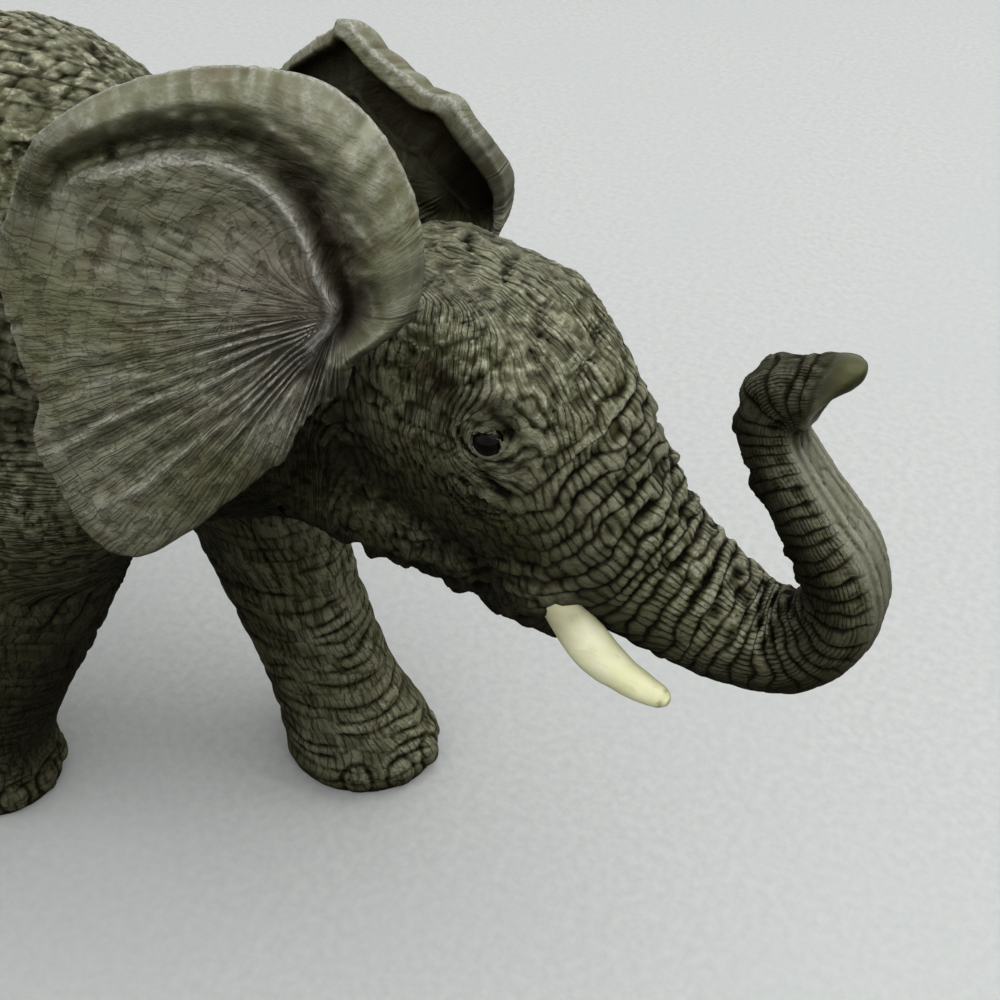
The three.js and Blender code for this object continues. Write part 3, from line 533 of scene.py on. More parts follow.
def finished(name, shape, material, node, marks=None, normals=None):
    """A piece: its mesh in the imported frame, its marks as attributes, its material and its node."""
    points, quads, triangles = shape
    mesh = make_mesh(name, (points + SHIFT) * MM, quads, triangles)
    for mark, values in (marks or {}).items():
        kind, field = ("FLOAT", "value") if values.ndim == 1 else ("FLOAT_VECTOR", "vector")
        attribute = mesh.attributes.new(mark, kind, "POINT")
        attribute.data.foreach_set(field, values.astype(np.float32).ravel())
    if normals is not None:
        mesh.normals_split_custom_set_from_vertices(normals.astype(np.float32).tolist())
    mesh.materials.append(material)
    piece = linked(name, mesh)
    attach(piece, "root")
    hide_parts(node)


# Lofts of the skin
def body_loft(table, lift, rings, around):
    """Upright oval rings carried along the body's line."""
    rows = rows_between(table, np.linspace(0, len(table) - 1, rings))
    centres = columns(rows[:, 0], 0.0, rows[:, 1] + lift)
    return oval_rings(centres, SIDE_WAY, UP_WAY, rows[:, [2, 2, 3, 4]], around)


def face_loft(rings, around, table=FACE, lean=0.0):
    """Oval rings square to the face and trunk line; with a lean, the last lean back below and turn right."""
    places = np.linspace(0, len(table) - 1, rings)
    rows = rows_between(table, places)
    step = line_step(table, places)
    along = unit(columns(step[:, 0], 0.0, step[:, 1]))
    centres = columns(rows[:, 0], 0.0, rows[:, 1] + SKULL_RISE)
    frontward = np.cross(along, SIDE_WAY)
    share = (lean > 0) * smooth_step(len(table) - 3.2, len(table) - 1, places)
    rows[:, 4] += END_DROP * share
    loft = oval_rings(centres, SIDE_WAY, frontward, rows[:, [2, 2, 3, 4]], around)
    depth = np.einsum("ijk,ik->ij", loft - centres[:, None], frontward)
    low = np.clip((rows[:, 3:4] - depth) / (rows[:, 3:4] + rows[:, 4:5]), 0, 1)
    leaned = loft - ((lean * share)[:, None] * low)[..., None] * along[:, None]
    leaned[..., 0] += END_TURN * share[:, None] * (loft[..., 1] + END_AXIS)
    return leaned


def round_loft(stations, rings, around):
    """Round rings square to a line through stations of a point and a radius."""
    places = np.linspace(0, len(stations) - 1, rings)
    rows = rows_between(stations, places)
    along = unit(line_step(stations, places)[:, :3])
    sideways = unit(SIDE_WAY - (along @ SIDE_WAY)[:, None] * along)
    return oval_rings(rows[:, :3], sideways, np.cross(along, sideways), rows[:, [3, 3, -1, -1]], around)


def leg_line(leg):
    """Centre and four reaches of a leg at its stations: left, right, front and back."""
    table, hip, foot, side, way = leg
    middle = columns(hip + (foot - hip) * table[:, 5] + way * table[:, 6], side * LEG_SPREAD, table[:, 0])
    return np.hstack([middle, table[:, [2, 1] if side > 0 else [1, 2]], table[:, 3:5]]) * WITHERS


def leg_loft(leg, rings, around):
    """Level oval rings carried down a leg."""
    rows = rows_between(leg_line(leg), np.linspace(0, len(LEG_SPREAD) - 1, rings))
    rows[:, 2] = np.maximum(rows[:, 2], 0)
    return oval_rings(rows[:, :3], FRONT_WAY, SIDE_WAY, rows[:, [5, 6, 3, 4]], around)


def head_stations(table, side):
    """Station points and radii of a small form on one side of the head."""
    return np.array([[*head_point(row[:3], side), row[3] * HEAD] for row in table])


def tusk_stations(side):
    """Station points and radii of a tusk."""
    root = np.append(head_point(TUSK_ROOT, side), 0)
    return root + TUSK_LINE * [1, side, 1, 1]


# The figure's long line, from the rump through the skull to the trunk's tip, for wrinkles that follow it
BODY_LINE = np.array([[-156, 84], [-112, 82], [-74, 80], [-44, 84], [-25, 88.5], [-9, 91.5]])
# The first of the face's stations on it, and the coarse step of a search along it
FACE_START = 3
LINE_STEP = 8
LONG_LINE = np.vstack([BODY_LINE, FACE[FACE_START:, :2] + [0, SKULL_RISE]])
LINE_PLACES = np.linspace(0, len(LONG_LINE) - 1, 561)
LINE_POINTS = rows_between(LONG_LINE, LINE_PLACES)
LINE_WAYS = unit(np.gradient(LINE_POINTS, axis=0))
LINE_REACH = np.concatenate([[0], np.cumsum(np.linalg.norm(np.diff(LINE_POINTS, axis=0), axis=1))])


def reach_at(station):
    """How far along the long line a station of the face and trunk lies."""
    return np.interp(station - FACE_START + len(BODY_LINE), LINE_PLACES, LINE_REACH)


def nearest_of(flat, candidates):
    """The place of the long line nearest to each flat point, out of places tried one after another."""
    nearest = np.zeros(len(flat), int)
    least = np.full(len(flat), 1e9)
    for places in candidates:
        apart = ((flat - LINE_POINTS[places]) ** 2).sum(1)
        nearest = np.where(apart < least, places, nearest)
        least = np.minimum(apart, least)
    return nearest


def along_figure(points):
    """Each point as its reach along the long line, its sideways place and its height off the line."""
    flat = points[:, [0, 2]]
    last = len(LINE_POINTS) - 1
    rough = nearest_of(flat, range(0, last + 1, LINE_STEP))
    nearest = nearest_of(flat, (np.clip(rough + step, 0, last) for step in range(-LINE_STEP, LINE_STEP + 1)))
    off = flat - LINE_POINTS[nearest]
    way = LINE_WAYS[nearest]
    reach = LINE_REACH[nearest] + (off * way).sum(1)
    return columns(reach, points[:, 1], off[:, 1] * way[:, 0] - off[:, 0] * way[:, 1])


BODY_ROWS = rows_between(BODY, np.linspace(0, len(BODY) - 1, 400))


def body_share(points):
    """How far out a point lies in the body's oval section at its place: 1 on the body's surface."""
    rise, half, above, below = [
        np.interp(points[:, 0], BODY_ROWS[:, 0], BODY_ROWS[:, column]) for column in (1, 2, 3, 4)]
    over = points[:, 2] - rise
    return np.sqrt((points[:, 1] / half) ** 2 + (over / np.where(over > 0, above, below)) ** 2)


LEG_LINES = [leg_line(leg) for leg in LEGS.values()]


def leg_of(points):
    """Number of the leg nearest to each point: 0 and 1 fore left and right, 2 and 3 hind left and right."""
    return np.where(points[:, 0] > LEG_SPLIT, 0, 2) + np.where(points[:, 1] > 0, 0, 1)


def leg_at(line, heights, *places):
    """Columns of a leg's line at given heights, straight between its stations."""
    rows = line[::-1]
    return [np.interp(heights, rows[:, 2], rows[:, place]) for place in places]


def leg_share(points):
    """How far out a point lies in its leg's level oval section: 1 on the leg's surface."""
    number = leg_of(points)
    share = np.full(len(points), 9.0)
    for leg, line in enumerate(LEG_LINES):
        x, y, left, right, front, back = leg_at(line, points[:, 2], 0, 1, 3, 4, 5, 6)
        ahead, beside = points[:, 0] - x, points[:, 1] - y
        ahead = ahead / np.where(ahead > 0, front, back)
        beside = beside / np.where(beside > 0, left, right)
        share = np.where(number == leg, np.hypot(ahead, beside), share)
    return share


def leg_weight(points):
    """1 on a leg and 0 on the body: a step out of the body's section, if near the leg's own section."""
    apart = smooth_step(1.0, 1.3, body_share(points))
    return apart * (1 - smooth_step(58, 72, points[:, 2])) * (1 - smooth_step(1.3, 1.8, leg_share(points)))


# Reliefs of the skin, in millimetres along its normals
def where_due(weight, work, *columns):
    """What the work gives times the weight, worked out only on the points where the weight counts."""
    total = np.zeros(len(weight))
    due = np.flatnonzero(weight > 0.01)
    if len(due):
        total[due] = weight[due] * work(*[column[due] for column in columns])
    return total


def on_one_side(points):
    """Points of the right side laid over onto the left."""
    return columns(points[:, 0], np.abs(points[:, 1]), points[:, 2])


def mounded(points):
    """Sum of bell-shaped mounds: height times e to minus the squared distance in reaches, on both sides."""
    folded = on_one_side(points)
    total = np.zeros(len(points))
    for mound in MOUNDS:
        total += mound[6] * np.exp(-(((folded - mound[:3]) / mound[3:6]) ** 2).sum(1))
    return total


def valleys(count, sharpness=0.6):
    """Narrow grooves at whole numbers: the sine's size to a power, less 1."""
    return np.abs(np.sin(np.pi * count)) ** sharpness - 1


def broken(points, size, floor, seed):
    """A share from 0 to 1 that comes and goes: a floor plus noise of one size, kept in range."""
    return np.clip(floor + 1.2 * drift(points / size, seed), 0, 1)


def staggered(cells):
    """The count of cells round, shifted a little from row to row."""
    return cells[:, 1] + ROW_SHIFT * np.floor(cells[:, 0])


def celled(cells, across, along):
    """Cells in grooves: one where the count of rows is whole and one where the staggered count round is."""
    return across * valleys(cells[:, 0], 0.5) + along * valleys(staggered(cells), 0.5)


def eye_relief(points):
    """Lids and a pocket by distance in a lens of two parabolas, and bags by distance in an oval below it."""
    total = np.zeros(len(points))
    for side in (1, -1):
        forward = unit(np.array([0.86, side * 0.10, -0.46]))
        upward = unit(np.array([0.42, side * -0.22, 0.88]))
        off = points - head_point(EYE_PLACE, side)
        along, up = off @ forward / 1.45, off @ upward / 0.98
        lens = np.abs(up) + 0.85 * along ** 2
        oval = np.hypot(along / 1.1, up + 0.1)
        below = smooth_step(0.6, -0.8, up)
        lid = 0.5 * bell(lens, 1.3, 0.28) * (1 + 1.1 * (1 - below))
        pocket = -1.5 * (1 - smooth_step(0.72, 1.05, lens))
        bags = bell(oval, 1.9, 0.17) + 0.8 * bell(oval, 2.6, 0.18) + 0.6 * bell(oval, 3.3, 0.2)
        shelf = np.exp(-((up - 2.7 + 0.5 * along) / 0.7) ** 2 - (along / 2.2) ** 4)
        total += bell(oval, 0, 3.6, 6) * (lid + pocket - 0.42 * bags * (0.15 + 0.85 * below) - 0.75 * shelf)
    return total


def foot_relief(points):
    """Toenails: low flat-topped bells round the front of each foot, each in a shallow groove."""
    total = np.zeros(len(points))
    for name, line in zip(LEGS, LEG_LINES):
        x, y, _, left, right, front, _ = line[-2]
        for turn in np.linspace(-1.15, 1.15, 5 if name.startswith("fore") else 4):
            reach = right if turn < 0 else left
            off = points - [x + front * np.cos(turn), y + reach * np.sin(turn), 3.2]
            size = np.hypot((off[:, 1] * np.cos(turn) - off[:, 0] * np.sin(turn)) / 2.0, off[:, 2] / 2.9)
            near = (off ** 2).sum(1) < 60
            total += np.where(near, 0.35 * bell(size, 0, 1, 6) - 0.3 * bell(size, 1.18, 0.2), 0)
    return total


# Rows of wrinkles counted along the long line, by their spacing on the body, head, trunk's root and tip
HEAD_START = reach_at(0)
TRUNK_ROOT = reach_at(RINGS_START)
TRUNK_TIP = reach_at(len(FACE) - 1)
ROW_PLACES = np.linspace(HEAD_START - 150, TRUNK_TIP + 8, 1500)
SPACING_PLACES = [HEAD_START - 60, HEAD_START, TRUNK_ROOT, TRUNK_TIP]
ROW_SPACING = np.interp(ROW_PLACES, SPACING_PLACES, [3.6, 2.3, 2.6, 1.3])
ROW_COUNT = np.concatenate([[0], np.cumsum(np.diff(ROW_PLACES) / ROW_SPACING[:-1])])


def neck_count(points):
    """Folds counted over the neck: way round from the spine and six tenths of the way along, over 2.1 mm."""
    over = points[:, 2] - 86
    around = np.arctan2(np.abs(points[:, 1]) * 1.2, over) * np.hypot(points[:, 1] * 1.2, over)
    return (around + 0.6 * points[:, 0]) / 2.1 + 0.6 * drift(points / [14.0, 9.0, 9.0], 65)


def neck_weight(points):
    """1 over the neck and the front of the back, where the folds slant to the nape."""
    return window(-100, -64, -30, -16, points[:, 0]) * smooth_step(64, 80, points[:, 2])


def cells_of(points, flow, grain):
    """Rows counted along the grain and cells counted round it, both led astray by noises of two sizes."""
    wander = 0.5 * drift(flow / [6.0, 4.5, 4.5], 21) + 0.22 * drift(flow / [1.8, 2.0, 2.0], 22)
    rows = np.interp(grain[:, 0], ROW_PLACES, ROW_COUNT) + wander
    sway = 0.8 * drift(points / 5.0, 43) + 0.3 * drift(points / 1.7, 44)
    around = grain[:, 1] / 1.3 + sway
    neck = neck_weight(points)
    level = points[:, 0] / 7.0 + 0.5 * drift(points / 3.0, 46)
    return columns(rows + neck * (neck_count(points) - rows), around + neck * (level - around))


def tip_weight(flow):
    """1 on the smooth end of the trunk, which reaches further back below than above."""
    return smooth_step(reach_at(TIP_START), reach_at(TIP_END), flow[:, 0] - 0.35 * flow[:, 2])


def ring_weight(flow):
    """How much the rings show: from the brow down the front, later down the sides, and not on the tip."""
    reach = flow[:, 0] + np.clip(flow[:, 2], -8, 9)
    return smooth_step(TRUNK_ROOT + 4, TRUNK_ROOT + 20, reach) * (1 - tip_weight(flow))


def raised_part(flow):
    """1 on the raised part of the trunk, and the angle round it from the middle of its underside."""
    raised = smooth_step(reach_at(RAISED_START), reach_at(RAISED_END), flow[:, 0])
    return raised, np.arctan2(np.abs(flow[:, 1]), -flow[:, 2])


def trunk_relief(flow, cells):
    """Rings in narrow grooves, knobbly at their upper edge, and a flat underside between two ridges."""
    part = np.clip((flow[:, 0] - TRUNK_ROOT) / (TRUNK_TIP - TRUNK_ROOT), 0, 1)
    pitch = 2.6 - 1.3 * part
    raised, under = raised_part(flow)
    plain = raised * (1 - smooth_step(0.75, 1.1, under))
    upper = smooth_step(0.5, 1.5, under)
    uneven = 0.8 + 0.6 * drift(flow / 4.0, 23)
    rings = pitch * (0.08 + 0.14 * upper) * uneven * (valleys(cells[:, 0], 0.5) + 0.25)
    rungs = 0.2 * valleys(staggered(cells), 0.6)
    knobs = (0.2 + 0.5 * smooth_step(1.9, 2.7, under)) * drift(flow / [1.5, 1.9, 1.9], 24)
    ridges = bell(under, 0.85, 0.14) + 0.6 * bell(under, 0.45, 0.08)
    flat = raised * (0.45 * ridges - 0.5 * bell(under, 0, 0.6, 4))
    cracks = 0.12 * creases(flow / [4.0, 2.2, 2.2], 0.12, 25)
    return (1 - plain) * (rings + rungs + knobs) + flat - plain * cracks


def across_end(off):
    """Offsets from a point of the trunk's end face, laid into that face."""
    return off - (off @ END_WAY)[:, None] * END_WAY


def tip_relief(points):
    """The hollow of the trunk's end face and the two nostrils in it: bells across the face's direction."""
    off = points - head_point(NOSTRIL * [1, 0, 1], 1) - [END_AXIS * END_TURN, 0, -0.4]
    apart = np.linalg.norm(across_end(off) / [1, 1.15, 1], axis=1)
    front = (off @ END_WAY > -1.5) & (apart < 6)
    total = np.where(front, -0.9 * bell(apart, 0, 2.6, 4), 0)
    for side in (1, -1):
        spot = head_point(NOSTRIL, side)
        off = points - spot - [END_TURN * (spot[1] + END_AXIS), 0, 0]
        total -= np.where(front, 2.0 * bell(np.linalg.norm(across_end(off), axis=1), 0, 0.95, 4), 0)
    return total


def head_relief(points, grain, cells):
    """Cells drawn out along the grain, lumps over the forehead, and knobs hanging in folds at the throat."""
    drawn = celled(cells, 0.2 * broken(points, 3.5, 0.35, 50), 0.30 * broken(points, 2.4, 0.4, 45))
    slant = valleys((0.77 * grain[:, 0] + 0.64 * grain[:, 1]) / 2.4 + 0.8 * drift(points / 5.0, 47), 0.5)
    low = 1 - smooth_step(70, 80, points[:, 2] - 0.35 * points[:, 0])
    lumps = 1.5 * drift(points / [2.2, 2.4, 1.8], 53) + 0.4 * drift(points / 1.2, 54)
    folds = valleys(points[:, 2] / 3.2 - points[:, 0] / 9 + 0.8 * drift(points / 6, 57), 0.7)
    cracks = 0.14 * creases(points / 2.0, 0.16, 51)
    fine = drawn + cracks + 0.16 * slant * broken(points, 5.0, 0.1, 48) + 0.24 * drift(points / 1.3, 49)
    return fine * (1 - 0.4 * low) + low * (1.0 * np.maximum(lumps, -0.35) + 0.5 * folds)


def body_relief(points, grain, cells):
    """Folds slanting over the neck to the nape, hanging folds on the flank, and cells along the grain."""
    neck = neck_weight(points)
    folds = valleys(neck_count(points), 0.55) * (0.9 + 0.4 * drift(points / 6, 66))
    notches = 0.2 * valleys(points[:, 0] / 3.4 + 0.9 * drift(points / 3.0, 70), 0.5)
    notches = notches * broken(points, 3.0, 0.1, 73)
    bumps = 0.3 * drift(points / [2.4, 1.2, 1.2], 68) + 0.4 * drift(points / 3.2, 71)
    hanging = valleys(grain[:, 0] / 4.2 + 1.6 * drift(points / [9.0, 9.0, 16.0], 67), 0.4)
    hanging = hanging * broken(points, 9.0, 0.5, 69)
    drawn = celled(cells, 0.22 * broken(points, 4.0, 0.4, 64), 0.34 * broken(points, 5.0, 0.5, 72))
    rest = 0.32 * hanging + drawn + 0.18 * drift(points / 1.6, 74)
    return neck * (0.95 * folds + notches + bumps) + (1 - 0.9 * neck) * rest


def legs_relief(points, grain):
    """Long folds down the upper leg, level broken folds toward the foot, and the toenails."""
    height = points[:, 2]
    upper = smooth_step(26, 48, height)
    folds = valleys(grain[:, 1] / 3.0 + 0.03 * height + 0.9 * drift(points / [7.0, 7.0, 16.0], 83), 0.5)
    folds = folds * broken(points, 8.0, 0.6, 84)
    count = height / 2.4 + 0.9 * drift(points / [9, 9, 5], 85)
    level = valleys(count, 0.5) * broken(points, 4.0, 0.6, 89)
    upright = valleys(grain[:, 1] / 2.0 + drift(points / 4.0, 87), 0.5) * broken(points, 3.5, 0.2, 88)
    lumps = drift(points / [3.5, 3.5, 2.5], 91)
    deep = 0.5 * (1 - upper) + 0.25 * bell(height, 40, 9)
    return 0.75 * upper * folds + deep * level + 0.24 * upright + 0.3 * lumps + foot_relief(points)


def grain_of(points, flow, legs):
    """Places along the long line and round it: down the cheek, round the eye and round a leg instead."""
    grain = columns(flow[:, 0], np.arctan2(np.abs(flow[:, 1]), flow[:, 2]) * GRAIN_RADIUS)
    base = along_figure(np.array([[12.0, 0.0, 80.0]]))[0]
    over = points[:, 2] - 80
    cheek = (1 - smooth_step(4, 20, points[:, 0] + 0.4 * over)) * smooth_step(-26, -12, points[:, 0])
    cheek = cheek * smooth_step(2, 8, np.abs(points[:, 1]))
    forward = base[2] + points[:, 0] - 12 + 0.15 * over
    down = columns(base[0] + 80 - points[:, 2], GRAIN_RADIUS * np.pi / 2 - forward)
    grain += cheek[:, None] * (down - grain)
    for side in (1, -1):
        apart = np.linalg.norm(points - head_point(EYE_PLACE, side), axis=1)
        grain[:, 1] += 0.85 * bell(apart, 0, 6.0) * (12 + apart - grain[:, 1])
    number = leg_of(points)
    for leg, line in enumerate(LEG_LINES):
        x, y = leg_at(line, points[:, 2], 0, 1)
        turn = np.abs(np.arctan2(points[:, 1] - y, points[:, 0] - x))
        down = columns(150 - points[:, 2], 10 * turn)
        grain += ((number == leg) * legs)[:, None] * (down - grain)
    return columns(grain[:, 0], grain[:, 1], 0.3 * flow[:, 1])


def shade_pools(points, flow):
    """Painted shade pooled in the head's hollows and on the raised trunk's upper side, less a painted
    highlight on the forehead.
    """
    raised, under = raised_part(flow)
    # Painted shade over the upper side of the raised trunk, which is turned from the light
    shade_amount = 0.75 * raised * smooth_step(1.0, 1.9, under)
    folded = on_one_side(points)
    for *place, reach, amount in SHADE_POOLS:
        apart = np.linalg.norm(folded - head_point(place, 1), axis=1)
        shade_amount = np.maximum(shade_amount, amount * bell(apart / reach, 0, HEAD))
    apart = np.linalg.norm((folded - head_point(HIGHLIT_FOREHEAD, 1)) / [14, 12, 11], axis=1)
    return shade_amount - (1 - shade_amount) * 0.95 * bell(apart, 0, 1, 4)


def skin_relief(points, normals):
    """All reliefs of the skin, faded out on the soles, and the coordinates and weights for its paint."""
    flow = along_figure(points)
    legs = leg_weight(points)
    grain = grain_of(points, flow, legs)
    cells = cells_of(points, flow, grain)
    rings = ring_weight(flow) * (1 - legs)
    tip = tip_weight(flow)
    ahead = smooth_step(HEAD_START - 18, HEAD_START - 6, flow[:, 0])
    face = ahead * (1 - rings) * (1 - tip) * (1 - legs)
    back = (1 - ahead) * (1 - legs)
    total = (1 - legs) * mounded(points)
    total += where_due(face, head_relief, points, grain, cells)
    total += where_due(face, eye_relief, points)
    total += where_due(rings, trunk_relief, flow, cells)
    total += where_due(tip, tip_relief, points)
    total += where_due(back, body_relief, points, grain, cells)
    total += where_due(legs, legs_relief, points, grain)
    sole = np.maximum(smooth_step(0.3, 1.6, points[:, 2]), 1 - smooth_step(0.3, 0.8, -normals[:, 2]))
    raised, under = raised_part(flow)
    plate = raised * (1 - smooth_step(0.7, 1.05, under)) * (1 - tip)
    end = tip * smooth_step(0.5, 0.68, normals @ END_WAY)
    # The cells carry, third, the pooled painted shade less the forehead's painted highlight; the weights
    # carry, third, the upward facing, by which the paint shades what faces down
    return total * sole, {
        "grain": grain,
        "cells": columns(cells[:, 0], cells[:, 1], shade_pools(points, flow)),
        "weights": columns(rings, tip, normals[:, 2]),
        "parts": columns(plate, end, legs),
    }


def skin_forms(share):
    """Every form that the skin is fused from, with rings and points round them cut to a share."""
    def count(full):
        return int(full * share)

    lofts = [
        body_loft(BODY, 0, count(170), count(160)),
        body_loft(JAW, SKULL_RISE, count(80), count(110)),
        face_loft(count(260), count(110), lean=END_LEAN),
        face_loft(count(40), count(40), FINGER),
        face_loft(count(50), count(50), LOWER_LIP),
    ]
    lofts += [leg_loft(leg, count(110), count(90)) for leg in LEGS.values()]
    for side in (1, -1):
        lofts += [round_loft(head_stations(table, side), count(36), count(36)) for table in (SHEATH, BROW)]
    return joined([closed_tube(rings) for rings in lofts])


def calm_weight(points):
    """How much each point of the fused skin is smoothed: little on the trunk, its tip and the feet."""
    trunk = smooth_step(12, 24, points[:, 0])
    low = 1 - smooth_step(14, 34, points[:, 2])
    head = smooth_step(-20, -6, points[:, 0])
    return 0.6 * (1 - 0.9 * trunk) * (1 - 0.85 * low) * (1 - 0.35 * head)


def fused_skin():
    """One skin over all its forms: fused in voxels, smoothed, and halved into finer faces."""
    forms = make_mesh("forms", *skin_forms(1.0))
    fused = with_modifier(forms, "REMESH", mode="VOXEL", voxel_size=VOXEL, adaptivity=0)
    points, quads, edges, _ = read_mesh(fused)
    soft = relaxed(points, edges, calm_weight(points), 22)
    soft = relaxed(soft, edges, 0.4, 2)
    soft[:, 2] = np.where(points[:, 2] < 0.6, points[:, 2], soft[:, 2])
    return read_mesh(with_modifier(make_mesh("soft", soft, quads), "SUBSURF", levels=1, render_levels=1))


def which_piece(middles):
    """The number of the piece that each face belongs to, in the order of SKIN_NODES."""
    flow = along_figure(middles)
    apart = np.hypot(flow[:, 1], flow[:, 2])
    trunk = (flow[:, 0] > reach_at(TRUNK_SEAM)) & (apart < 10.5) & (middles[:, 0] > 10)
    head = (middles[:, 0] > NECK_SEAM) & (middles[:, 2] > 60)
    leg = (body_share(middles) > 1.07) & (middles[:, 2] < 76) & (leg_share(middles) < 1.5) & ~head
    number = np.where(middles[:, 1] > 0, 0, 1)
    number = np.where(leg, 2 + leg_of(middles), number)
    number = np.where(head, 6, number)
    return np.where(trunk, 7, number)


def capped(points, quads):
    """Triangles that close each open border by a fan from its loop's middle, which joins the points."""
    starts, ends = quads.ravel(), np.roll(quads, -1, axis=1).ravel()
    count = len(points)
    border = ~np.isin(starts * count + ends, ends * count + starts)
    starts, ends = starts[border], ends[border]
    label, step = np.arange(count), np.arange(count)
    step[starts] = ends
    # Each turn doubles the step, so that a few reach round any border
    for _ in range(14):
        label = np.minimum(label, label[step])
        step = step[step]
    loops, member = np.unique(label[starts], return_inverse=True)
    sums = columns(*[np.bincount(member, points[starts, axis]) for axis in range(3)])
    middles = sums / np.bincount(member)[:, None]
    return np.vstack([points, middles]), columns(ends, starts, count + member), len(loops)


def in_box(points):
    """Points held inside the solids' own box."""
    low, high = np.array(cad_low) / MM - SHIFT, np.array(cad_high) / MM - SHIFT
    return np.clip(points, low + BOX_GAP, high - BOX_GAP)


def skin_pieces(material):
    """The fused skin with its relief, cut into the pieces that the figure is moulded in."""
    points, quads, edges, normals = fused_skin()
    relief, marks = skin_relief(points, normals)
    shaped = in_box(points + normals * relief[:, None])
    normals = edges_and_normals(make_mesh("whole", shaped, quads))[1]
    soft = relaxed(shaped, edges, 0.6, 8)
    broad = relaxed(soft, edges, 0.6, 60)
    # How far each point stands proud of its near and of its broad surroundings; from these the paint darkens
    # grooves with dark paint and painted shade, and the broad hollows with painted shade
    marks["tone"] = ((shaped - soft) * normals).sum(1)
    marks["hollow"] = ((shaped - broad) * normals).sum(1)
    number = which_piece(shaped[quads].mean(1))
    for place, node in enumerate(SKIN_NODES):
        kept, faces = np.unique(quads[number == place], return_inverse=True)
        faces = faces.reshape(-1, 4)
        part, caps, added = capped(shaped[kept], faces)
        kept_marks = {mark: np.concatenate([values[kept], np.zeros((added, *values.shape[1:]))])
                      for mark, values in marks.items()}
        own = np.vstack([normals[kept], np.tile(UP_WAY, (added, 1))])
        name = node.replace("_shell", "") + "_skin"
        finished(name, (part, faces, caps), material, node, kept_marks, own)


# Ears
def round_value(table, turn):
    """A number at a turn between numbers given at even turns: a cubic joined end to end."""
    count = len(table)
    place = np.mod(turn, 1) * count
    start = np.floor(place).astype(int)
    part = place - start
    before, here, there, after = [table[(start + step) % count] for step in (-1, 0, 1, 2)]
    rise, fall = (there - before) / 2, (after - here) / 2
    bend = 3 * (there - here) - 2 * rise - fall
    twist = rise + fall - 2 * (there - here)
    return here + part * (rise + part * (bend + part * twist))


def ear_sheet(shape, place, turn, face, seed):
    """The ear's places back, up and out in millimetres, how thick it is toward the edge, and its rim."""
    reaches, bumps = shape[4:]
    rim = window(0.08, 0.17, 0.56, 0.63, turn)
    front = window(0.44, 0.54, 0.68, 0.8, turn)
    wave = 1 + 0.016 * (1 - rim) * np.sin(2 * np.pi * 9 * turn)
    reach = round_value(reaches, turn) * wave
    reach += sum(height * bell(turn, spot, width) for spot, width, height in bumps)
    fray = (1 - 0.75 * rim) * drift(columns(turn * 70, 0, 0), seed + 9)
    fray += 0.4 * drift(columns(turn * 190, 0, 0), seed + 10)
    reach += 0.0045 * fray * smooth_step(0.75, 1.0, place)
    valley = round_value(VALLEY, turn)
    share = np.where(place < 0.5, valley * place / 0.5, valley + (1 - valley) * (place - 0.5) / 0.5)
    back = EAR_MIDDLE[0] + reach * share * np.cos(2 * np.pi * turn)
    up = EAR_MIDDLE[1] + reach * share * np.sin(2 * np.pi * turn)
    rings = rows_between(EAR_RINGS, np.interp(place, EAR_RINGS[:, 0], np.arange(len(EAR_RINGS))))
    lift = rim * np.where(face > 0, rings[:, 1], rings[:, 2])
    edge = np.sqrt(np.maximum(1 - share ** 6, 0))
    bowl = -EAR_BOWL * share * share * (1 - rim)
    flare = EAR_FLARE * smooth_step(0.4, 0.9, share) * front
    out = (bowl + face * EAR_THICKNESS / 2 * edge + lift + flare) * EAR
    return columns(back * EAR, up * EAR, 0), out, edge, rim


def ear_flow(flat):
    """Way out from the root, and the angle of the folds: their centre draws off forward above the root."""
    back, up = flat[:, 0] - FOLD_CENTRE[0], flat[:, 1] - FOLD_CENTRE[1]
    spread = np.degrees(np.arctan2(up, back + 26 * smooth_step(-1, 13, up)))
    return np.hypot(back, up), spread


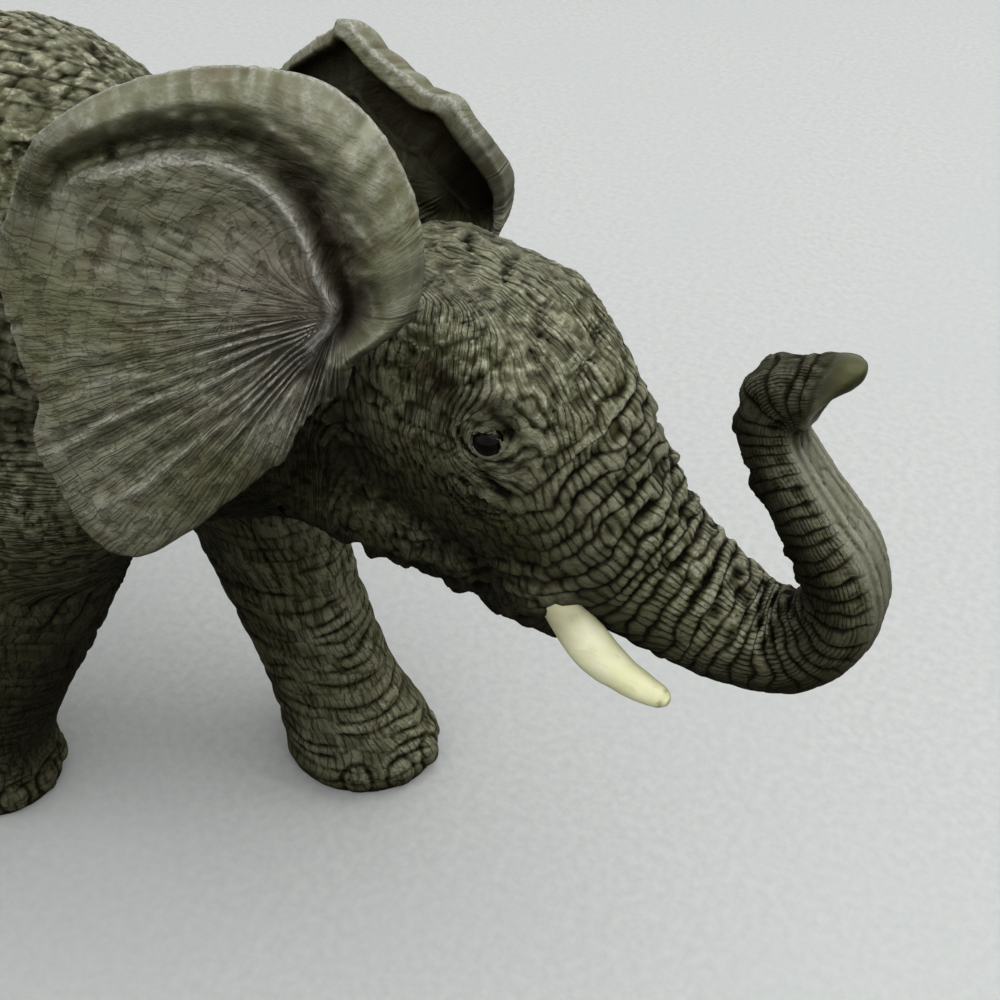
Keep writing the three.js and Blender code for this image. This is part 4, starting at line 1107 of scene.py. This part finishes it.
def ear_relief(flat, place, turn, rim, face, seed):
    """Folds fanning from the root, soft dents over the top of the rim, a rough valley, and fine wrinkles."""
    away, spread = ear_flow(flat)
    wander = drift(columns(spread / 9, away / 12, 0), seed)
    crest = (1 - np.abs(np.sin(np.pi * (spread / 5.6 + 1.1 * wander)))) ** 1.5
    sector = fold_sector(spread)
    fade = 1 - smooth_step(8, 19 + 5 * drift(columns(spread / 7, 0, 0), seed + 13), away)
    strong = sector * smooth_step(1.0, 4, away) * fade
    broad = np.sin(np.pi * (spread / 8.5 + 1.2 * wander))
    broad += 0.5 * np.sin(np.pi * (spread / 3.7 + 1.5 * wander))
    folds = 0.7 * strong * (crest - 0.3) + 0.24 * sector * smooth_step(9, 24, away) * broad
    drum = smooth_step(0.50, 0.40, place)
    level = creases(columns(spread / 1.9, away / 14, 0) + 0.2 * wander[:, None], 0.2, seed + 3)
    ruck = drift(waver(flat, 4.0, 0.8, seed + 5) / [1.9, 1.3, 1.3], seed + 6)
    wave = np.sin(2 * np.pi * (turn * 33 + 0.35 * drift(columns(turn * 15, 3 * place, 0), seed + 1)))
    band = rim * smooth_step(0.66, 0.78, place)
    dents = band * window(0.12, 0.2, 0.38, 0.47, turn)
    dents = dents * (0.13 * wave + 0.26 * drift(flat / [1.6, 2.6, 2.6], seed + 2))
    slope = rim * window(0.48, 0.56, 0.7, 0.78, place)
    rough = slope * (0.5 * drift(flat / 2.4, seed + 7) + 0.3 * drift(flat / 1.1, seed + 8))
    corner = bell(turn, 0.10, 0.05) * smooth_step(0.5, 0.8, place) * 0.4 * drift(flat / 3.0, seed + 11)
    shoulder = 0.75 * shoulder_line(place, turn, rim)
    outer = folds + dents + rough + corner + shoulder - 0.14 * level * drum * (1 - strong)
    outer += 0.13 * ruck * (1 - 0.3 * band) * (1 - 0.7 * strong)
    inner = -0.3 * folds + 0.12 * drift(flat / [1.4, 3.0, 3.0], seed + 12)
    return np.where(face > 0, outer, inner)


def fold_sector(spread):
    """1 where the folds fan out, below the drum and behind the root."""
    return smooth_step(-1, -14, spread) * smooth_step(-125, -75, spread)


def shoulder_line(place, turn, rim):
    """The crisp raised edge of the drum, along the valley: a narrow bell, only above and before."""
    return rim * bell(place, 0.462, 0.026) * smooth_step(0.2, 0.34, turn)


def ear_ways(side, spread, tilt, roll):
    """The ear's outward, upward and backward directions, by three angles in radians."""
    outward = np.array([np.sin(spread) * np.cos(tilt), side * np.cos(spread) * np.cos(tilt), np.sin(tilt)])
    upward = unit(UP_WAY - outward[2] * outward)
    ways = [upward, np.cross(outward, upward) * -side]
    turned = -side * roll
    return outward, *[way * np.cos(turned) + np.cross(outward, way) * np.sin(turned) for way in ways]


def ear_marks(flat, out, place, turn, rim, face):
    """The coordinates and weights that the ear's paint needs, at every point of its rings."""
    away, angle = ear_flow(flat)
    outer = face > 0
    band = np.maximum(rim * smooth_step(0.6, 0.74, place), (face < 0) * 0.8)
    # Painted shade in the valley under the rolled rim, stronger toward the front; on the inner face, dark
    # paint with painted shade in its channel
    valley = rim * bell(place, 0.555, 0.065) * (0.1 + 0.9 * smooth_step(0.24, 0.38, turn))
    hollow = rim * window(0.52, 0.62, 0.86, 0.93, place)
    blush = bell(away, 0, 11) * outer * (1 - band)
    corner = bell(turn, 0.09, 0.055) * smooth_step(0.55, 0.75, place) * outer
    around = 2 * np.pi * turn
    return {
        "grain": columns(away, angle * 0.3, out),
        "ring": np.where(outer, valley, hollow),
        "weights": columns(blush, corner, 0),
        "parts": columns(band, shoulder_line(place, turn, rim) * outer, fold_sector(angle)),
        "streak": columns(20 * np.cos(around), 20 * np.sin(around), 5 * place),
    }


def ear_piece(name, shape, material):
    """An ear: rings from the middle over the outer face to the edge and back over the inner face."""
    side = shape[0]
    around, out_rings = ((440, 110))
    places = np.linspace(0, 1, out_rings + 1)[1:] ** 0.85
    places = np.concatenate([places, places[:-1][::-1]])
    faces = np.concatenate([np.ones(out_rings), -np.ones(out_rings - 1)])
    place, face = np.repeat(places, around), np.repeat(faces, around)
    turn = np.tile(np.arange(around) / around, len(places))
    seed = 101 if side < 0 else 151
    flat, out, edge, rim = ear_sheet(shape, place, turn, face, seed)
    out = out + edge * ear_relief(flat, place, turn, rim, face, seed)
    outward, upward, backward = ear_ways(side, *np.radians(shape[1:4]))
    root = head_point(EAR_ROOT, side)
    placed = root + flat[:, :1] * backward + flat[:, 1:2] * upward + out[:, None] * outward
    points, quads, triangles = closed_tube(placed.reshape(len(places), around, 3))
    points = in_box(points)
    edges, normals = edges_and_normals(make_mesh("reading", points, quads, triangles))

    def whole(values):
        """Values with those of the two middle points added."""
        rows = values.reshape(len(places), around, *values.shape[1:])
        return np.concatenate([values, [rows[0].mean(0), rows[-1].mean(0)]])

    marks = {mark: whole(values) for mark, values in ear_marks(flat, out, place, turn, rim, face).items()}
    marks["tone"] = proud(points, edges, normals, 10)
    # The upward facing, by which the paint shades what faces down and lightens what faces up
    marks["weights"][:, 2] = normals[:, 2]
    finished(name + "_skin", (points, quads, triangles), material, name, marks)


# Tusks, eyes and tail
def swollen(grid, relief):
    """Rings moved away from their own middles by a relief of one number for each point."""
    return grid + unit(grid - grid.mean(1, keepdims=True)) * relief.reshape(*grid.shape[:2], 1)


def side_name(side):
    """Left for 1 and right for -1."""
    return "left" if side > 0 else "right"


def tusk_piece(side, material):
    """A tusk: round rings along its line with faint lengthwise and growth ripples."""
    rings, around = ((140, 80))
    grid = round_loft(tusk_stations(side), rings, around)
    flat = grid.reshape(-1, 3)
    ripple = 0.05 * drift(flat / [4, 1.2, 1.2], 201) + 0.05 * drift(flat / 1.6, 203)
    along = np.concatenate([np.repeat(np.linspace(0, 1, rings), around), [0, 1]])
    node = "tusk_" + side_name(side)
    finished(node + "_ivory", closed_tube(swollen(grid, ripple)), material, node, {"along": along})


def eye_piece(side, material):
    """An eye bead: a sphere of rings from pole to pole."""
    rings, around = 33, 48
    angle = np.linspace(0.02, np.pi - 0.02, rings)[:, None]
    turn = np.linspace(0, 2 * np.pi, around, endpoint=False)[None]
    out, up = np.sin(angle), np.cos(angle)
    ball = np.stack([out * np.cos(turn), up + 0 * turn, out * np.sin(turn)], -1)
    shape = closed_tube(head_point(EYE_PLACE, side) + ball * (EYE - 0.03))
    node = "eye_" + side_name(side)
    finished(node + "_bead", shape, material, node)


def tail_piece(material):
    """The tail: round rings down its line, wrinkled above and stranded in its tuft."""
    rings, around = ((240, 60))
    stations = columns(TAIL[:, 0], 0, TAIL[:, 1], TAIL[:, 2], TAIL[:, 3])
    grid = round_loft(stations, rings, around)
    flat = grid.reshape(-1, 3)
    tuft = 1 - smooth_step(50, 58, flat[:, 2])
    wrinkles = 0.18 * valleys(flat[:, 2] / 1.5 + drift(flat / 3, 211))
    turn = np.tile(np.linspace(0, 2 * np.pi, around, endpoint=False), rings)
    strands = 0.35 * (np.abs(np.sin(4.5 * turn + 1.2 * drift(flat / [9, 9, 6], 213))) ** 0.7 - 1)
    points, quads, triangles = closed_tube(swollen(grid, (1 - tuft) * wrinkles + tuft * strands))
    points = in_box(points)
    edges, normals = edges_and_normals(make_mesh("reading", points, quads, triangles))
    tone = proud(points, edges, normals, 6)
    downward = points[:, [2, 0, 1]]
    marks = {"tone": tone, "hollow": 0 * tone, "grain": downward, "weights": normals * [0, 0, 1],
             "cells": downward * [0.6, 0.8, 0], "parts": 0 * points}
    finished("tail_skin", (points, quads, triangles), material, "tail", marks)


# Materials
class Board:
    """A material's nodes, added and joined by short calls."""

    def __init__(self, name):
        self.material = bpy.data.materials.new(name)
        self.material.use_nodes = True
        self.tree = self.material.node_tree
        self.shader = self.tree.nodes["Principled BSDF"]

    def put(self, socket, value):
        """Joins an input to an output, or sets it to a value."""
        if isinstance(value, bpy.types.NodeSocket):
            self.tree.links.new(value, socket)
        else:
            socket.default_value = value

    def add(self, kind, inputs=None, **settings):
        """A node of a kind with its settings and inputs."""
        node = self.tree.nodes.new("ShaderNode" + kind)
        for setting, value in settings.items():
            setattr(node, setting, value)
        for socket, value in (inputs or {}).items():
            self.put(node.inputs[socket], value)
        return node

    def finish(self, **inputs):
        """Sets or joins the shader's inputs, named with underlines for spaces, and gives the material."""
        for socket, value in inputs.items():
            self.put(self.shader.inputs[socket.replace("_", " ")], value)
        return self.material

    def place(self):
        """The place on the object."""
        return self.add("TexCoord").outputs["Object"]

    def mark(self, name, output="Fac"):
        """One of the piece's own attributes."""
        return self.add("Attribute", attribute_name=name).outputs[output]

    def marks(self, name):
        """The three numbers of one of the piece's own attributes."""
        return list(self.add("SeparateXYZ", {0: self.mark(name, "Vector")}).outputs)

    def maths(self, operation, first, second=0.0, third=0.0):
        """One sum, product or other operation on numbers."""
        return self.add("Math", {0: first, 1: second, 2: third}, operation=operation).outputs[0]

    def product(self, *values):
        """Several numbers multiplied."""
        total = values[0]
        for value in values[1:]:
            total = self.maths("MULTIPLY", total, value)
        return total

    def most(self, first, second):
        """The greater of two numbers."""
        return self.maths("MAXIMUM", first, second)

    def less(self, value):
        """1 less a number."""
        return self.maths("SUBTRACT", 1.0, value)

    def spread(self, value, low, high, to_low=0.0, to_high=1.0):
        """A number moved from one range to another and kept inside it."""
        return self.add("MapRange", {0: value, 1: low, 2: high, 3: to_low, 4: to_high}).outputs[0]

    def faded(self, value, share, floor=0.0):
        """A number of 0 to 1 drawn toward 1 as the share falls to 0, and never below a floor."""
        return self.less(self.product(self.less(value), share, 1.0 - floor))

    def blended(self, share, first, second):
        """Two colours mixed by a share; a colour of three numbers is opaque."""
        colours = [(*colour, 1) if isinstance(colour, tuple) else colour for colour in (first, second)]
        return self.add("Mix", {0: share, 6: colours[0], 7: colours[1]}, data_type="RGBA").outputs[2]

    def noise(self, vector, scale, detail=3.0):
        """Soft noise from 0 to 1."""
        inputs = {"Vector": vector, "Scale": scale, "Detail": detail, "Roughness": 0.55}
        return self.add("TexNoise", inputs).outputs["Fac"]

    def lines(self, count, width):
        """Thin lines, 0 at the line: where a running count passes each half."""
        off = self.maths("ABSOLUTE", self.maths("SUBTRACT", self.maths("FRACT", count), 0.5))
        return self.spread(off, 0.0, width)

    def ruled(self, grain, spacing, slope, wander, amount, width):
        """Thin lines that run at a slope, in degrees, to the grain, led astray by noise."""
        way = np.radians(slope)
        astray = self.maths("MULTIPLY", wander, amount)
        count = self.maths("MULTIPLY_ADD", grain[0], float(np.sin(way) / spacing), astray)
        return self.lines(self.maths("MULTIPLY_ADD", grain[1], float(np.cos(way) / spacing), count), width)

    def bump(self, height, distance, strength=1.0):
        """Fine relief by a height of 0 to 1 over a distance."""
        return self.add("Bump", {"Strength": strength, "Distance": distance, "Height": height}).outputs[0]


def painted_skin():
    """Olive-grey paint over moulded skin: dark grooves, painted shade in hollows and below, pale brushing and
    painted highlight on top.
    """
    board = Board("painted elephant skin")
    place = board.place()
    tone, hollow = board.mark("tone"), board.mark("hollow")
    rung, tip, above = board.marks("weights")
    plate, end, _ = board.marks("parts")
    grain, cells = board.marks("grain"), board.marks("cells")
    specks = board.noise(place, 2300.0)
    patches = board.noise(place, 80.0)
    spots = board.noise(place, 420.0)
    breaks = board.noise(place, 330.0, 2.0)
    gaps = board.noise(place, 520.0, 1.0)

    row = board.maths("FLOOR", cells[0])
    shifted = board.maths("MULTIPLY_ADD", row, ROW_SHIFT, cells[1])
    numbers = board.add("CombineXYZ", {0: row, 1: board.maths("FLOOR", shifted)}).outputs[0]
    lot = board.add("TexWhiteNoise", {"Vector": numbers}, noise_dimensions="2D").outputs["Value"]
    rows_off = board.lines(board.maths("ADD", cells[0], 0.5), board.spread(breaks, 0.3, 0.7, 0.05, 0.24))
    cells_off = board.lines(board.maths("ADD", shifted, 0.5), board.spread(gaps, 0.3, 0.7, 0.08, 0.4))
    bare = board.less(board.most(tip, plate))
    rows_due = board.product(bare, board.most(rung, board.spread(breaks, 0.45, 0.6, 0.1, 0.8)))
    cells_due = board.product(bare, board.spread(lot, 0.15, 0.7, 0.1, 1.0))
    fine_lines = board.ruled(grain, 0.58, 6, breaks, 3.0, board.spread(gaps, 0.4, 0.62, 0.02, 0.3))
    slant_lines = board.ruled(grain, 2.4, 50, gaps, 1.4, board.spread(spots, 0.58, 0.42, 0.01, 0.12))
    fine_due = board.product(bare, board.spread(rung, 0.0, 1.0, 0.6, 0.3))

    deep = board.product(board.faded(rows_off, rows_due, 0.1), board.faded(cells_off, cells_due, 0.2))
    shallow = board.product(board.faded(fine_lines, fine_due, 0.2), board.faded(slant_lines, fine_due, 0.1))
    height = board.maths("MULTIPLY_ADD", deep, 0.7, board.product(shallow, 0.35))
    height = board.maths("MULTIPLY_ADD", specks, 0.5, height)
    height = board.maths("MULTIPLY_ADD", gaps, 0.7, height)
    height = board.product(height, board.spread(tip, 0.0, 1.0, 1.0, 0.12))

    olive = board.blended(board.spread(patches, 0.36, 0.64), (0.142, 0.146, 0.062), (0.214, 0.216, 0.126))
    brown = board.blended(board.spread(spots, 0.5, 0.68, 0.0, 0.6), olive, (0.130, 0.096, 0.046))
    dark = board.product(board.spread(lot, 0.5, 1.0, 0.0, 0.55), bare)
    dark_cell = board.blended(dark, brown, (0.062, 0.060, 0.024))
    # Pale brushing on raised ridges, paler where they face up, as a painted highlight from the light above
    lit = board.spread(above, -0.15, 0.7)
    brush_and_highlight = board.product(board.spread(tone, 0.0, 0.12), board.spread(specks, 0.4, 0.62, 0.25, 1.0), lit)
    # A painted highlight over the middle of the forehead
    forehead_highlight = board.spread(cells[2], 0.0, -1.0)
    brush_and_highlight = board.most(brush_and_highlight, board.product(forehead_highlight, board.spread(specks, 0.35, 0.6, 0.2, 0.75)))
    pale = board.blended(board.product(brush_and_highlight, 0.85), dark_cell, (0.55, 0.55, 0.405))
    plated = board.product(plate, board.spread(spots, 0.4, 0.6, 0.4, 0.9))
    pale = board.blended(plated, pale, (0.27, 0.27, 0.205))
    finger = board.spread(grain[0], float(reach_at(FINGER_START)), float(reach_at(FINGER_END)))
    smooth_end = board.blended(finger, (0.034, 0.034, 0.013), (0.125, 0.128, 0.045))
    faced = board.product(end, board.spread(spots, 0.35, 0.6, 1.0, 0.4))
    smooth_end = board.blended(faced, smooth_end, (0.020, 0.020, 0.016))
    # A painted highlight along the lip of the trunk's smooth end
    lip_highlight = board.product(board.spread(tone, 0.07, 0.16, 0.0, 0.8), board.less(finger))
    smooth_end = board.blended(lip_highlight, smooth_end, (0.34, 0.35, 0.22))
    pale = board.blended(tip, pale, smooth_end)
    plain = board.less(tip)
    # Dark paint in grooves and cells, deepened by painted shade in hollows, in the pooled places and on what
    # faces down
    wash_and_shade = board.product(
        board.spread(tone, -0.16, 0.03, 0.04, 1.0), board.spread(hollow, -0.9, 0.25, 0.2, 1.0),
        board.faded(deep, plain, 0.12), board.faded(shallow, plain, 0.3),
        board.spread(above, -0.5, 0.72, 0.06, 1.0), board.spread(cells[2], 0.0, 1.0, 1.0, 0.06))
    wash_and_shade = board.most(wash_and_shade, board.product(tip, 0.6))
    rough = board.spread(specks, 0.3, 0.7, 0.42, 0.6)
    return board.finish(
        Base_Color=board.blended(wash_and_shade, (0.0055, 0.0045, 0.0022), pale),
        Roughness=board.product(rough, board.spread(tip, 0.0, 1.0, 1.0, 0.4)),
        Specular_IOR_Level=board.spread(wash_and_shade, 0.2, 0.9, 0.04, 0.4),
        Normal=board.bump(height, 0.0004))


def painted_ear():
    """The skin's paint on an ear: lines that fan from the root, painted shade in its valley, painted
    highlights on its edges, a pinkish grey root.
    """
    board = Board("painted elephant ear")
    place = board.place()
    shade, tone = board.mark("ring"), board.mark("tone")
    blush, corner, above = board.marks("weights")
    band, shoulder, sector = board.marks("parts")
    grain = board.marks("grain")
    specks = board.noise(place, 2300.0)
    patches = board.noise(place, 90.0)
    spots = board.noise(place, 300.0)
    breaks = board.noise(place, 260.0, 1.0)
    gaps = board.noise(place, 430.0, 1.0)
    streaked = board.noise(board.mark("streak", "Vector"), 0.42, 2.0)
    thin = board.noise(board.mark("streak", "Vector"), 1.3, 2.0)

    bare = board.less(board.product(band, 0.95))
    rays = board.ruled(grain, 0.75, 0, breaks, 1.6, board.spread(breaks, 0.42, 0.66, 0.01, 0.22))
    fine = board.ruled(grain, 0.3, 0, breaks, 1.4, board.spread(gaps, 0.42, 0.66, 0.01, 0.3))
    cross = board.ruled(grain, 2.1, 70, breaks, 1.0, board.spread(spots, 0.56, 0.44, 0.01, 0.1))
    drawn = board.add("CombineXYZ", {0: board.product(grain[0], 0.35), 1: grain[1]}).outputs[0]
    creased = board.noise(drawn, 1.5)
    ridged = board.spread(creased, 0.40, 0.47)
    fan = board.product(bare, board.spread(sector, 0.0, 1.0, 0.45, 1.0))
    dark_lines = board.product(board.faded(rays, fan, 0.35), board.faded(fine, fan, 0.5),
                               board.faded(cross, bare, 0.7), board.faded(ridged, bare, 0.45))
    height = board.maths("MULTIPLY_ADD", dark_lines, 0.8, board.product(specks, 0.4))
    height = board.maths("MULTIPLY_ADD", creased, 1.4, height)
    height = board.maths("MULTIPLY_ADD", gaps, 0.8, height)

    olive = board.blended(board.spread(patches, 0.36, 0.64), (0.140, 0.146, 0.068), (0.208, 0.212, 0.142))
    brown = board.blended(board.spread(spots, 0.5, 0.7, 0.0, 0.5), olive, (0.135, 0.100, 0.050))
    dim = board.product(band, board.spread(streaked, 0.56, 0.68, 0.0, 0.6), board.spread(spots, 0.35, 0.6))
    brown = board.blended(dim, brown, (0.105, 0.074, 0.034))
    light = board.product(band, board.spread(streaked, 0.45, 0.33, 0.0, 0.7), board.spread(spots, 0.6, 0.4))
    brown = board.blended(light, brown, (0.40, 0.395, 0.28))
    pink = board.blended(board.product(blush, 0.48), brown, (0.24, 0.175, 0.17))
    green = board.blended(board.product(corner, 0.85), pink, (0.055, 0.055, 0.018))
    # Pale brushing on ridges, paler where they face up, as a painted highlight
    brush_and_highlight = board.product(board.spread(tone, 0.0, 0.12), board.spread(specks, 0.42, 0.6, 0.3, 1.0),
                          board.spread(above, -0.1, 0.6))
    # Painted highlights along the drum's raised edge and on the fold crests near the root
    crest_highlights = board.product(sector, board.spread(blush, 0.02, 0.4), board.spread(tone, -0.02, 0.04))
    edge = board.product(board.most(shoulder, crest_highlights), board.spread(specks, 0.4, 0.6, 0.35, 0.9))
    pale = board.blended(board.most(board.product(brush_and_highlight, 0.8), edge), green, (0.50, 0.50, 0.45))
    # Painted shade in the valley and the inner channel, broken by thin streaks
    hidden_shade = board.product(shade, board.spread(thin, 0.35, 0.65, 1.0, 0.85))
    # Dark paint in lines and grooves, with painted shade in the valley, on what faces down and near the root
    # among the folds
    wash_and_shade = board.product(
        board.spread(tone, -0.17, 0.01, 0.06, 1.0), board.spread(dark_lines, 0.0, 1.0, 0.3, 1.0),
        board.spread(hidden_shade, 0.0, 0.9, 1.0, 0.08), board.spread(above, -0.7, 0.35, 0.22, 1.0))
    wash_and_shade = board.most(wash_and_shade, board.product(sector, blush, 0.6))
    rough = board.spread(specks, 0.3, 0.7, 0.38, 0.54)
    return board.finish(
        Base_Color=board.blended(wash_and_shade, (0.012, 0.0085, 0.0035), pale),
        Roughness=board.product(rough, board.spread(corner, 0.0, 1.0, 1.0, 0.65)),
        Specular_IOR_Level=board.spread(wash_and_shade, 0.15, 0.8, 0.06, 0.45),
        Normal=board.bump(height, 0.0003))


def painted_ivory():
    """Pale yellow ivory paint with painted shade, darker and greener, toward the sides, faint long streaks
    and a spot near the tip.
    """
    board = Board("painted ivory")
    place = board.place()
    along = board.mark("along")
    drawn = board.add("VectorMath", {0: place, 1: (0.35, 1.0, 1.0)}, operation="MULTIPLY").outputs[0]
    streaks = board.noise(drawn, 900.0, 4.0)
    patches = board.noise(place, 240.0)
    base = board.blended(board.spread(patches, 0.35, 0.65), (0.90, 0.905, 0.54), (0.97, 0.965, 0.68))
    # Painted shade: darker and greener where the tusk turns away from view
    edge = board.add("LayerWeight", {"Blend": 0.35}).outputs["Facing"]
    side_shaded = board.blended(board.product(edge, 0.7), base, (0.52, 0.54, 0.26))
    streaked = board.blended(board.spread(streaks, 0.58, 0.76, 0.0, 0.35), side_shaded, (0.42, 0.38, 0.22))
    rooted = board.blended(board.spread(along, 0.34, 0.22, 0.0, 0.5), streaked, (0.30, 0.27, 0.15))
    spot = board.product(
        board.spread(along, 0.86, 0.9), board.spread(along, 0.96, 0.92), board.spread(streaks, 0.45, 0.6))
    return board.finish(
        Base_Color=board.blended(board.product(spot, 0.6), rooted, (0.20, 0.15, 0.08)),
        Roughness=board.spread(streaks, 0.3, 0.7, 0.36, 0.5),
        Normal=board.bump(streaks, 0.0001, 0.4))


def glossy_bead():
    """Glossy dark brown, a little lighter in patches."""
    board = Board("glossy eye bead")
    patches = board.noise(board.place(), 900.0, 2.0)
    colour = board.blended(board.spread(patches, 0.4, 0.7), (0.0015, 0.001, 0.001), (0.005, 0.003, 0.002))
    return board.finish(Base_Color=colour, Roughness=0.07, Specular_IOR_Level=0.1)


def pale_paper():
    """Pale grey grained paper, darker to light that has bounced already, to light the figure less."""
    board = Board("pale paper floor")
    place = board.place()
    mottle = board.noise(place, 620.0, 5.0)
    clouds = board.noise(place, 14.0, 2.0)
    colour = board.blended(board.spread(mottle, 0.3, 0.7), (0.565, 0.583, 0.576), (0.654, 0.671, 0.660))
    colour = board.blended(board.spread(clouds, 0.4, 0.65, 0.0, 0.5), colour, (0.595, 0.622, 0.612))
    seen = board.add("LightPath").outputs["Is Camera Ray"]
    return board.finish(
        Base_Color=board.blended(seen, (0.16, 0.16, 0.15), colour),
        Roughness=0.9,
        Specular_IOR_Level=0.1,
        Normal=board.bump(mottle, 0.00025, 0.5))


def soft_lamp(name, place, size, power):
    """A square lamp at a place, facing the middle of the figure."""
    data = bpy.data.lights.new(name, "AREA")
    data.size = size
    data.energy = power
    lamp = linked(name, data)
    lamp.location = place
    lamp.rotation_euler = (LIT_PLACE - Vector(place)).to_track_quat("-Z", "Y").to_euler()


# Build
skin = painted_skin()
ear_paint = painted_ear()
ivory = painted_ivory()
bead = glossy_bead()
skin_pieces(skin)
for ear_name, ear_shape in EARS.items():
    ear_piece(ear_name, ear_shape, ear_paint)
for way in (1, -1):
    tusk_piece(way, ivory)
    eye_piece(way, bead)
tail_piece(skin)

# Floor, light and camera
FLOOR_REACH = 3.0
floor_corners = FLOOR_REACH * np.array([[-1, -1, 0], [1, -1, 0], [1, 1, 0], [-1, 1, 0]])
floor = linked("floor", make_mesh("floor", floor_corners, np.array([[0, 1, 2, 3]])))
floor.data.materials.append(pale_paper())
LIT_PLACE = Vector((0.0, 0.0, 0.07))
soft_lamp("window light", (0.42, 0.10, 0.80), 1.0, 3.6)
soft_lamp("fill light", (-0.5, -0.6, 0.7), 0.9, 0.7)

world = bpy.data.worlds.new("studio")
bpy.context.scene.world = world
world.use_nodes = True
sky = world.node_tree.nodes["Background"].inputs
sky["Color"].default_value = (1.0, 1.0, 0.99, 1)
sky["Strength"].default_value = 0.78

camera_data = bpy.data.cameras.new("camera")
camera_data.lens = 52.02
camera_data.sensor_width = 36.0
camera_data.clip_start = 0.01
camera = linked("camera", camera_data)
# The way that the camera looks, the place it looks at, and how far it stands from it
sight = np.array([-0.3116, 0.6998, -0.6428])
seen_place = (np.array([0, 0, 73.3]) + SHIFT) * MM
camera.location = seen_place - sight * 0.170
camera.rotation_mode = "QUATERNION"
camera.rotation_quaternion = Vector(sight).to_track_quat("-Z", "Y")
bpy.context.scene.camera = camera
bpy.context.scene.view_settings.view_transform = "Standard"
